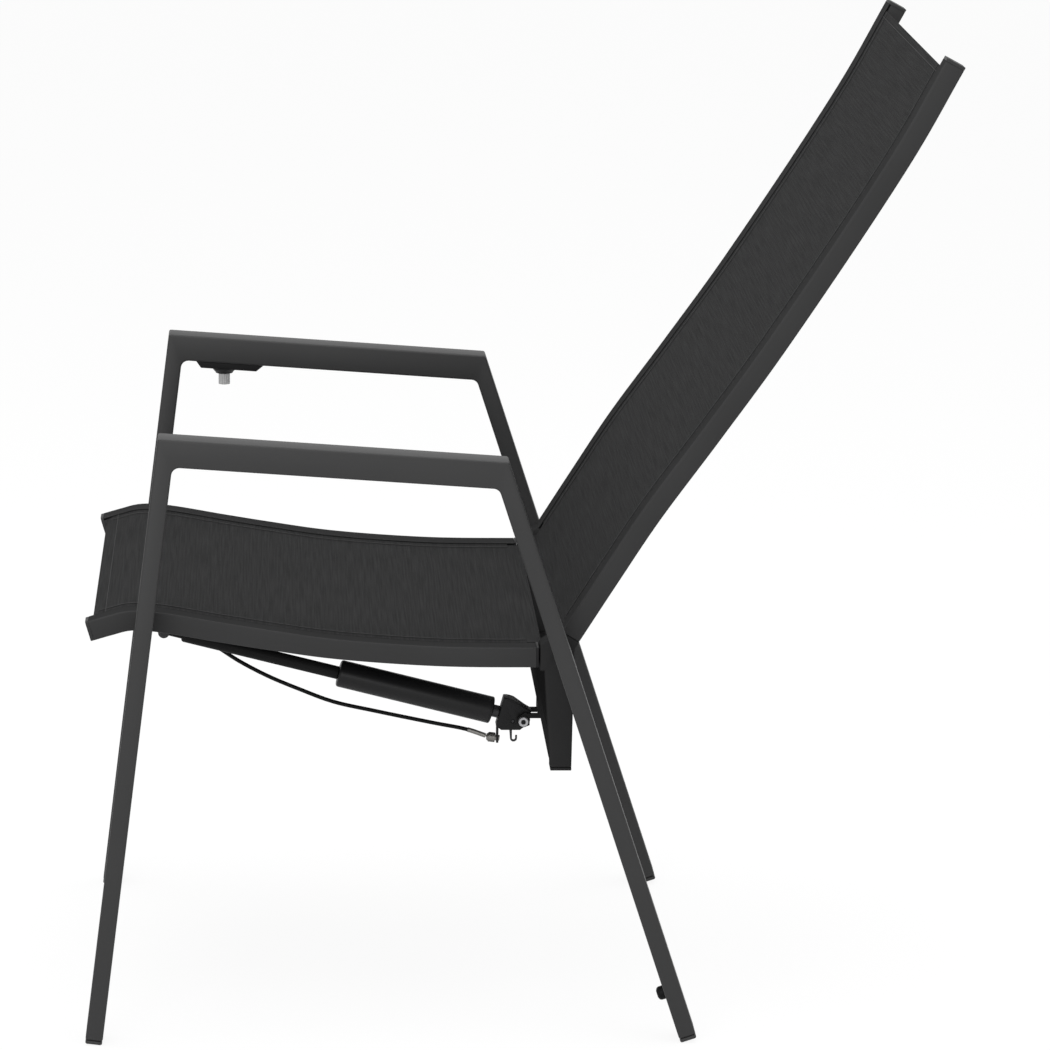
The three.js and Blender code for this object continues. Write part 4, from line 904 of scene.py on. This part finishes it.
def build_feet():
    """Thin caps on the square-cut ends of the legs, each standing on its lower edge."""
    half = LEG_DEPTH / 2 - GAP
    top = FOOT_THICKNESS - GAP
    for word, _ in SIDES:
        for node, leg in (("front_foot", FRONT_LEG), ("rear_foot", REAR_LEG)):
            name = f"{node}_{word}"
            low, high = drawn_box(name)
            corners = [
                leg_end(leg, -half), leg_end(leg, half), leg_end(leg, half, top), leg_end(leg, -half, top)]
            foot = slab(name + "_part", corners, low[0], high[0], FOOT_EDGE)
            finish(foot, coat, "black_plastic", "frame", name)


def build_caps():
    edge = 0.8
    for word, _ in SIDES:
        for node, body, skin in (
                ("seat_rail_cap", "frame", rail_coat), ("back_rail_cap", "back", rail_coat),
                ("lever_cap", "back", lever_coat)):
            eased(f"{node}_{word}", skin, "black_plastic", body, edge, 3)


def build_bumpers():
    """Domed rubber studs on the front of the rear legs, let into them."""
    start_z = 53.0
    radius = 7.5
    height = 8.0
    stud = 2.5
    sunk = -5.0
    profile = [
        (0, sunk), (stud, sunk), (stud, GAP), (radius, GAP), (radius, height - 3.6),
        (radius - 0.5, height - 2.2), (radius - 1.5, height - 1.0), (radius - 3.0, height - 0.4),
        (radius - 3.6, height), (0, height)]
    slope = math.atan(REAR_LEG[1])
    way = (0, -math.cos(slope), math.sin(slope))
    for word, side in SIDES:
        start = (side * FRAME_MIDDLE, leg_y(REAR_LEG, start_z, -LEG_DEPTH / 2), start_z)
        node = f"stack_bumper_{word}"
        finish(turned(node + "_rubber", profile, start, way), rubber, "black_plastic", "frame", node)


def build_crossbars():
    edge = 0.3
    for node, body in (
            ("front_hem_bar", "frame"), ("seat_front_crossbar", "frame"), ("seat_rear_crossbar", "frame"),
            ("back_lower_crossbar", "back"), ("back_upper_crossbar", "back")):
        low, high = drawn_box(node)
        middle = [(a + b) / 2 for a, b in zip(low, high)]
        radius = (high[2] - low[2]) / 2
        bar = round_bar(node + "_tube", radius, low[0], high[0], middle[1], middle[2], edge)
        finish(bar, coat, "frame_paint", body, node)


def build_levers():
    for word, _ in SIDES:
        eased(f"back_lever_{word}", lever_coat, "frame_paint", "back", 0.4)
        eased(f"hinge_plate_{word}", lever_coat, "frame_paint", "frame", 0.6)
    build_lever_bar()
    eased("spring_front_bracket", coat, "frame_paint", "frame")


def build_lever_bar():
    """The bar between the levers; its two tabs narrow to fingers beside the spring's rear pin."""
    tab_inner = 10.0
    tab_outer = 16.0
    y, z = SPRING_REAR
    finger_low = z + 3.4
    finger_high = z + 8.7
    bar_front = y + 15.8
    pin_rear = y + 7.2
    beyond_y = y + 34
    over_z = z + 40
    under_z = z - 12
    above = [
        (y + 5, finger_high), (bar_front, finger_high),
        (bar_front, over_z), (y - 12, over_z), (y - 4, z + 12)]
    below = [(pin_rear, under_z), (beyond_y, under_z), (beyond_y, finger_low), (pin_rear, finger_low)]
    bar = refined("lever_crossbar")
    for name, corners in (("above_finger", above), ("below_finger", below)):
        bar = cut_away(bar, slab(name, corners, -tab_outer, tab_outer))
    finish(bar, lever_coat, "frame_paint", "back", "lever_crossbar")
    bar.data.materials.append(dark_coat)
    for face in bar.data.polygons:
        if tab_inner * MM < abs(face.center.x) < tab_outer * MM:
            face.material_index = 1


def domed_bolt(name, high, far, y, z):
    """A bolt whose low domed head faces the middle of the chair, with a hexagon socket."""
    radius = 7.0
    height = 5.0
    shank = 4.0
    rim = 0.8
    socket_width = 4.0
    socket_depth = 2.2
    top = high - height
    profile = [
        (0, top), (radius * 0.5, top), (radius * 0.82, top + height * 0.3), (radius, high - rim),
        (radius, high), (shank, high), (shank, far), (0, far)]
    bolt = turned(name, profile, (0, y, z), ACROSS)
    return cut_away(bolt, hex_head(name + "_socket", socket_width, top - 1, top + socket_depth, y, z, edge=0))


def build_bolts():
    """The seat's and the pivot's bolts with nuts inside the legs, their spacers, and the pivot's bushes."""
    plate_thickness = 5.0
    nut_width = 11.3
    nut_height = 6.0
    thread_reach = 9.0
    hole_radius = 4.3
    spacer_radius = 9.0
    bush_radius = 5.9
    bush_edge = 0.2
    nut_low = FRAME_INNER + TUBE_WALL + GAP
    for word, (y, z), head_high in (
            ("seat", FRONT_BOLT, RAIL_INNER - GAP), ("pivot", PIVOT, RAIL_INNER - 2 * GAP - plate_thickness)):
        bolt = domed_bolt(f"{word}_bolt_head", head_high, nut_low + thread_reach, y, z)
        nut = hex_head(f"{word}_nut", nut_width, nut_low, nut_low + nut_height, y, z)
        left = joined(f"{word}_bolt_left_part", bolt, nut)
        finish_pair(left, f"{word}_bolt", rod_steel, "rod_steel", "frame")
    for node, (y, z) in (("front_spacer", FRONT_BOLT), ("pivot_spacer", PIVOT)):
        left = ring(
            f"{node}_left_part", hole_radius, spacer_radius, RAIL_OUTER + GAP, FRAME_INNER - GAP, y, z)
        finish_pair(left, node, moulding, "black_plastic", "frame")
    bush = ring("pivot_bush_left_part", hole_radius, bush_radius, RAIL_INNER, RAIL_OUTER, *PIVOT, bush_edge)
    finish_pair(bush, "pivot_bush", moulding, "black_plastic", "back")


# Gas spring and its release head

SPRING_WAY = (0, SPRING_REAR[0] - SPRING_FRONT[0], SPRING_REAR[1] - SPRING_FRONT[1])
SPRING_TILT = math.atan2(SPRING_WAY[2], SPRING_WAY[1])


def along_spring(name, profile):
    return turned(name, profile, (0, *SPRING_FRONT), SPRING_WAY, 64)


def build_extension():
    """The tube ahead of the cylinder, on a thinner neck, with the eye for the front pin."""
    neck = 4.2
    tube_radius = 7.3
    neck_start = 5.4
    taper_start = 20.6
    chamfer = 0.6
    eye_hole = 3.3
    eye_radius = 5.8
    eye_half = 6.0
    joint = CYLINDER_START - GAP
    stem = along_spring("spring_stem", (
        (0, neck_start), (neck, neck_start), (neck, taper_start), (4.6, 21), (5.3, 21), (6.2, 21.6),
        (7.0, 22.6), (tube_radius, 24), (tube_radius, joint - chamfer), (tube_radius - chamfer, joint),
        (0, joint)))
    eye = ring("spring_eye", eye_hole, eye_radius, -eye_half, eye_half, *SPRING_FRONT)
    extension = joined("spring_extension_part", stem, eye)
    finish(extension, dark_coat, "spring_black", "spring_cylinder", "spring_extension")


def build_cylinder():
    """The cylinder with its rounded shoulder, and the gland that closes its open end."""
    wall = 1.5
    shoulder = 3.0
    socket_depth = 12.0
    gland_depth = 9.0
    gland_hole = 5.3
    start = CYLINDER_START
    end = CYLINDER_END
    bore = CYLINDER_RADIUS - wall
    plug = bore - GAP
    turn = arc(CYLINDER_RADIUS - shoulder, start + shoulder, shoulder, -90, 0, 4)
    cylinder = along_spring("gas_cylinder_part", (
        (0, start), *turn, (CYLINDER_RADIUS, end), (bore, end), (bore, end - socket_depth),
        (0, end - socket_depth)))
    finish(cylinder, spring_paint, "spring_black", "spring_cylinder", "gas_cylinder")
    gland = along_spring("cylinder_gland_part", (
        (gland_hole, end - gland_depth), (plug, end - gland_depth), (plug, end + GAP),
        (CYLINDER_RADIUS, end + GAP), (CYLINDER_RADIUS, end + 1.5), (14.6, end + 2.3), (13.4, end + 2.8),
        (12.25, end + 3), (7.3, end + 3), (gland_hole, end + 1.5), (gland_hole, end - gland_depth)))
    finish(gland, spring_paint, "spring_black", "spring_cylinder", "cylinder_gland")


def build_rod():
    """The piston and its rod, with a collar between the gland and the release head."""
    piston_radius = 13.2
    piston_length = 14.0
    piston_back = 128.0
    collar_edge = 0.4
    collar_gap = 3.4
    reach = 9.0
    collar = CYLINDER_END + collar_gap
    back = CYLINDER_END - piston_back
    front = back + piston_length
    neck = COLLAR_RADIUS - collar_edge
    head = HEAD_START - GAP
    rod = along_spring("piston_rod_part", (
        (0, back), (piston_radius, back), (piston_radius, front), (ROD_RADIUS, front), (ROD_RADIUS, collar),
        (neck, collar), (COLLAR_RADIUS, collar + collar_edge), (COLLAR_RADIUS, head - collar_edge),
        (neck, head), (ROD_RADIUS, head), (ROD_RADIUS, HEAD_START + reach), (0, HEAD_START + reach)))
    finish(rod, rod_steel, "rod_steel", "spring_rod", "piston_rod")


def build_front_pin():
    """The pin through the front bracket, with a head on its left and a washer on its right."""
    half = 13.6
    outer = 13.4
    inner = 10.6
    head_width = 8.4
    washer_radius = 4.5
    pin = joined(
        "spring_front_pin_part", round_bar("front_pin", SMALL_PIN_RADIUS, -half, half, *SPRING_FRONT),
        hex_head("front_pin_head", head_width, inner, outer, *SPRING_FRONT),
        ring("front_pin_washer", SMALL_PIN_RADIUS, washer_radius, -outer, -inner, *SPRING_FRONT))
    finish(pin, rod_steel, "rod_steel", "frame", "spring_front_pin")


def build_rear_pin():
    """The bright pin through the head and the tabs: a round head with a hexagon socket, and a nut. A thin
    black hexagon on the socket's floor is painted shade.
    """
    tab_face = 15.2
    head_radius = 5.4
    head_height = 4.2
    chamfer = 0.4
    socket_width = 5.4
    socket_floor = 1.4
    painted_shade_width = 5.2
    nut_width = 9.35
    nut_height = 4.2
    turn = 12
    y, z = SPRING_REAR
    top = tab_face + head_height
    head = turned("rear_pin_head", (
        (0, tab_face), (head_radius, tab_face), (head_radius, top - 0.6), (head_radius - chamfer, top),
        (0, top)), (0, y, z), ACROSS)
    head = cut_away(head, hex_head(
        "rear_pin_socket", socket_width, tab_face + socket_floor, tab_face + 6, y, z, turn, 0))
    # Painted shade: a thin black hexagon on the socket's floor
    floor = hex_head("rear_pin_socket_painted_shade", painted_shade_width, tab_face + 1.3, tab_face + 1.8, y, z, turn, 0)
    finish(floor, moulding, "rod_steel", "back")
    nut_low = -tab_face - nut_height
    pin = joined(
        "spring_rear_pin_part", head,
        round_bar("rear_pin_shank", SMALL_PIN_RADIUS, nut_low, tab_face + 1, y, z),
        hex_head("rear_pin_nut", nut_width, nut_low, -tab_face, y, z))
    finish(pin, zinc, "bright_steel", "back", "spring_rear_pin")


def build_head():
    lever_ahead = 11.4
    lever_below = 1.6
    pin_radius = 2.0
    pin_half = 9.7
    eased("release_head", moulding, "black_plastic", "spring_rod", segments=3)
    build_rear_pin()
    y = SPRING_REAR[0] - lever_ahead
    z = SPRING_REAR[1] - lever_below
    lever_pin = round_bar("release_lever_pin_part", pin_radius, -pin_half, pin_half, y, z)
    finish(lever_pin, rod_steel, "rod_steel", "spring_rod", "release_lever_pin")
    build_release_lever(y, z)


def build_release_lever(y, z):
    """The hook under the head: an eye, a stem and a bend that turns up to the rear."""
    eye_radius = 4.4
    hole_radius = 2.3
    stem_ahead = 2.5
    drop = 22.0
    outer = 4.0
    inner = 1.8
    tip_rise = 3.4
    half = 1.2
    edge = 0.25
    bend_y = y - stem_ahead + outer
    bend_z = z - drop
    corners = arc(y, z, eye_radius, 0, 180, 16)
    corners += arc(bend_y, bend_z, outer, 180, 360, 16)
    corners += [(bend_y + outer, bend_z + tip_rise), (bend_y + inner, bend_z + tip_rise)]
    corners += arc(bend_y, bend_z, inner, 0, -180, 12)
    corners += [(bend_y - inner, z - eye_radius)]
    hook = slab("release_hook", corners, -half, half, edge, 2)
    hook = cut_away(hook, round_bar("hook_hole", hole_radius, -eye_radius, eye_radius, y, z, 0.1))
    finish(hook, rod_steel, "black_plastic", "release_lever", "release_lever")


def build_adjuster():
    """A knurled barrel on the cable's sleeve, held by the lug under the head."""
    hole = 1.4
    shank = 3.3
    half = 7.3
    knurled = 5.5
    chamfered = 5.1
    teeth = 28
    tooth_share = 0.09
    way = Vector((0, math.cos(SPRING_TILT / 2), math.sin(SPRING_TILT / 2)))
    profile = (
        (hole, -half), (shank, -half), (3.6, -6.9), (chamfered, -5.3), (knurled, -4.8), (knurled, 1.7),
        (chamfered, 2.3), (shank, 2.3), (shank, half), (hole, half), (hole, -half))
    barrel = turned("cable_adjuster_part", profile, ADJUSTER, way, 2 * teeth, 20)
    centre = place(*ADJUSTER)
    side = way.orthogonal().normalized()
    for vertex in barrel.data.vertices:
        offset = vertex.co - centre
        radial = offset - way * offset.dot(way)
        if radial.length < (chamfered + knurled) / 2 * MM:
            continue
        angle = math.atan2(radial.dot(way.cross(side)), radial.dot(side))
        if round(angle / math.tau * 2 * teeth) % 2:
            vertex.co -= radial * tooth_share
    finish(barrel, dull_zinc, "rod_steel", "spring_rod", "cable_adjuster")


# Release cable, button and housing

def build_cable():
    """Two free stretches, one under the spring and one across to the leg, and the hidden rest."""
    fine = fine_line([Vector(at) for at in CABLE_UNDER_SPRING + CABLE_TO_LEG + CABLE_INSIDE])
    bend = (len(CABLE_UNDER_SPRING) - 1) * SPAN_STEPS
    leg = bend + len(CABLE_TO_LEG) * SPAN_STEPS
    under = resampled(fine[:bend + 1], 110)
    across = resampled(fine[bend:leg + 1], 90)
    inside = resampled(fine[leg:], 60)
    for name, line in (("cable_under_spring", under), ("cable_to_leg", across)):
        path = [place(*at) for at in line]
        piece = tube(name, path, CABLE_RADIUS)
        piece.data.materials.append(rubber)
        path.reverse()
        if name == "cable_under_spring":
            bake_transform(piece)
        else:
            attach(piece, "frame")
            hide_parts("release_cable")
    hidden = tube("cable_in_frame", [place(*at) for at in inside], CABLE_RADIUS)
    finish(hidden, rubber, "black_plastic", "frame")
    build_cable_ends(under)


def build_cable_ends(under):
    """The ferrule and stud at the adjuster, and the grommet in the front leg."""
    ferrule_wall = 0.35
    stud_radius = 1.25
    hole = 3.2
    neck = 5.0
    reach = 5.0
    flange = 7.0
    edge = 0.8
    height = 3.5
    ferrule = tube(
        "cable_ferrule", [place(*at) for at in resampled(under[:8], 12)], CABLE_RADIUS + ferrule_wall, 5)
    finish(ferrule, dull_zinc, "rod_steel", "spring_rod")
    stud = tube("adjuster_stud", [place(*under[0]), place(*ADJUSTER)], stud_radius, 3)
    finish(stud, dull_zinc, "rod_steel", "spring_rod")
    grommet = turned("cable_grommet_part", (
        (hole, -height), (flange - edge, -height), (flange, edge - height), (flange, -GAP), (neck, -GAP),
        (neck, reach), (hole, reach), (hole, -height)), (-FRAME_INNER, *CABLE_TO_LEG[-1][1:]), (-1, 0, 0))
    finish(grommet, moulding, "black_plastic", "frame", "cable_grommet")


def build_release_unit():
    hole = 10.1
    base = 14.2
    top = 6.4
    rim = 1.2
    low, high = drawn_box("release_button")
    start = (-FRAME_MIDDLE, (low[1] + high[1]) / 2, drawn_box("release_housing")[0][2])
    skirt = turned("release_button_skirt", (
        (hole, rim), (11.0, 1.9), (base, 5.4), (base, top), (hole, top), (hole, rim)), start, (0, 0, 1))
    finish(skirt, moulding, "black_plastic", "frame")
    eased("release_housing", moulding, "black_plastic", "frame", segments=3)
    eased("release_button", satin, "bright_steel", "release_button", 0.25)


build_feet()
build_caps()
build_bumpers()
build_crossbars()
build_levers()
build_bolts()
build_extension()
build_cylinder()
build_rod()
build_front_pin()
build_head()
build_adjuster()
build_cable()
build_release_unit()


# Stage, lights and camera, in metres

FLOOR_SIZE = 40.0


def seen(tree, share=1.0):
    """The share where the eye, a reflection or glass looks, otherwise 0."""
    path = tree.nodes.new("ShaderNodeLightPath")
    value = path.outputs["Is Camera Ray"]
    for name in ("Is Glossy Ray", "Is Transmission Ray"):
        value = combine(tree, "MAXIMUM", value, path.outputs[name])
    return combine(tree, "MULTIPLY", value, share)


def mixed_shader(tree, share, first, second, output):
    """Shows the second shader where share is 1 and the first where it is 0."""
    mix = tree.nodes.new("ShaderNodeMixShader")
    tree.links.new(share, mix.inputs["Fac"])
    tree.links.new(first, mix.inputs[1])
    tree.links.new(second, mix.inputs[2])
    tree.links.new(mix.outputs["Shader"], tree.nodes[output].inputs["Surface"])


def build_stage():
    bpy.ops.mesh.primitive_plane_add(size=FLOOR_SIZE, location=(0, 0, 0))
    floor = bpy.context.object
    floor.name = "studio_floor"
    material, surface = shader("white_floor", (0.9, 0.9, 0.9), 0.9, shine=0.0)
    tree = material.node_tree
    glow = tree.nodes.new("ShaderNodeEmission")
    glow.inputs["Strength"].default_value = 1.05
    mixed_shader(tree, seen(tree, 0.85), surface.outputs["BSDF"], glow.outputs["Emission"], "Material Output")
    floor.data.materials.append(material)


def build_light():
    world = bpy.data.worlds.new("studio")
    bpy.context.scene.world = world
    world.use_nodes = True
    tree = world.node_tree
    around = tree.nodes["Background"]
    white = tree.nodes.new("ShaderNodeBackground")
    for sky, strength in ((around, 0.55), (white, 1.0)):
        sky.inputs["Color"].default_value = (1, 1, 1, 1)
        sky.inputs["Strength"].default_value = strength
    mixed_shader(tree, seen(tree), around.outputs["Background"], white.outputs["Background"], "World Output")
    softbox("overhead", location=(0.2, 0.0, 3.2), target=(0, 0, 0.4), size=3.0, watts=60)
    softbox("side", location=(4.0, -1.2, 1.8), target=(0, 0, 0.5), size=2.5, watts=60)


def softbox(name, location, target, size, watts):
    lamp = bpy.data.lights.new(name, "AREA")
    lamp.size = size
    lamp.energy = watts
    holder = linked(name, lamp)
    holder.location = location
    aim = Vector(target) - Vector(location)
    holder.rotation_euler = aim.to_track_quat("-Z", "Y").to_euler()


CAMERA_TARGET = (0, REARWARD * MM, 0.5022)
CAMERA_DISTANCE = 5.3326
CAMERA_YAW = math.radians(-3.139)
CAMERA_PITCH = math.radians(13.292)
CAMERA_ROLL = math.radians(0.805)
LENS = 164.571


def build_camera():
    back = Vector((
        math.cos(CAMERA_PITCH) * math.cos(CAMERA_YAW), math.cos(CAMERA_PITCH) * math.sin(CAMERA_YAW),
        math.sin(CAMERA_PITCH)))
    right = (-back).cross(Vector((0, 0, 1))).normalized()
    up = right.cross(-back)
    turned_right = math.cos(CAMERA_ROLL) * right + math.sin(CAMERA_ROLL) * up
    turned_up = -math.sin(CAMERA_ROLL) * right + math.cos(CAMERA_ROLL) * up
    lens = bpy.data.cameras.new("camera")
    lens.lens = LENS
    camera = linked("camera", lens)
    spot = Vector(CAMERA_TARGET) + back * CAMERA_DISTANCE
    facing = Matrix((turned_right, turned_up, back)).transposed().to_4x4()
    camera.matrix_world = Matrix.Translation(spot) @ facing
    bpy.context.scene.camera = camera


build_stage()
build_light()
build_camera()
bpy.context.scene.view_settings.view_transform = "Standard"
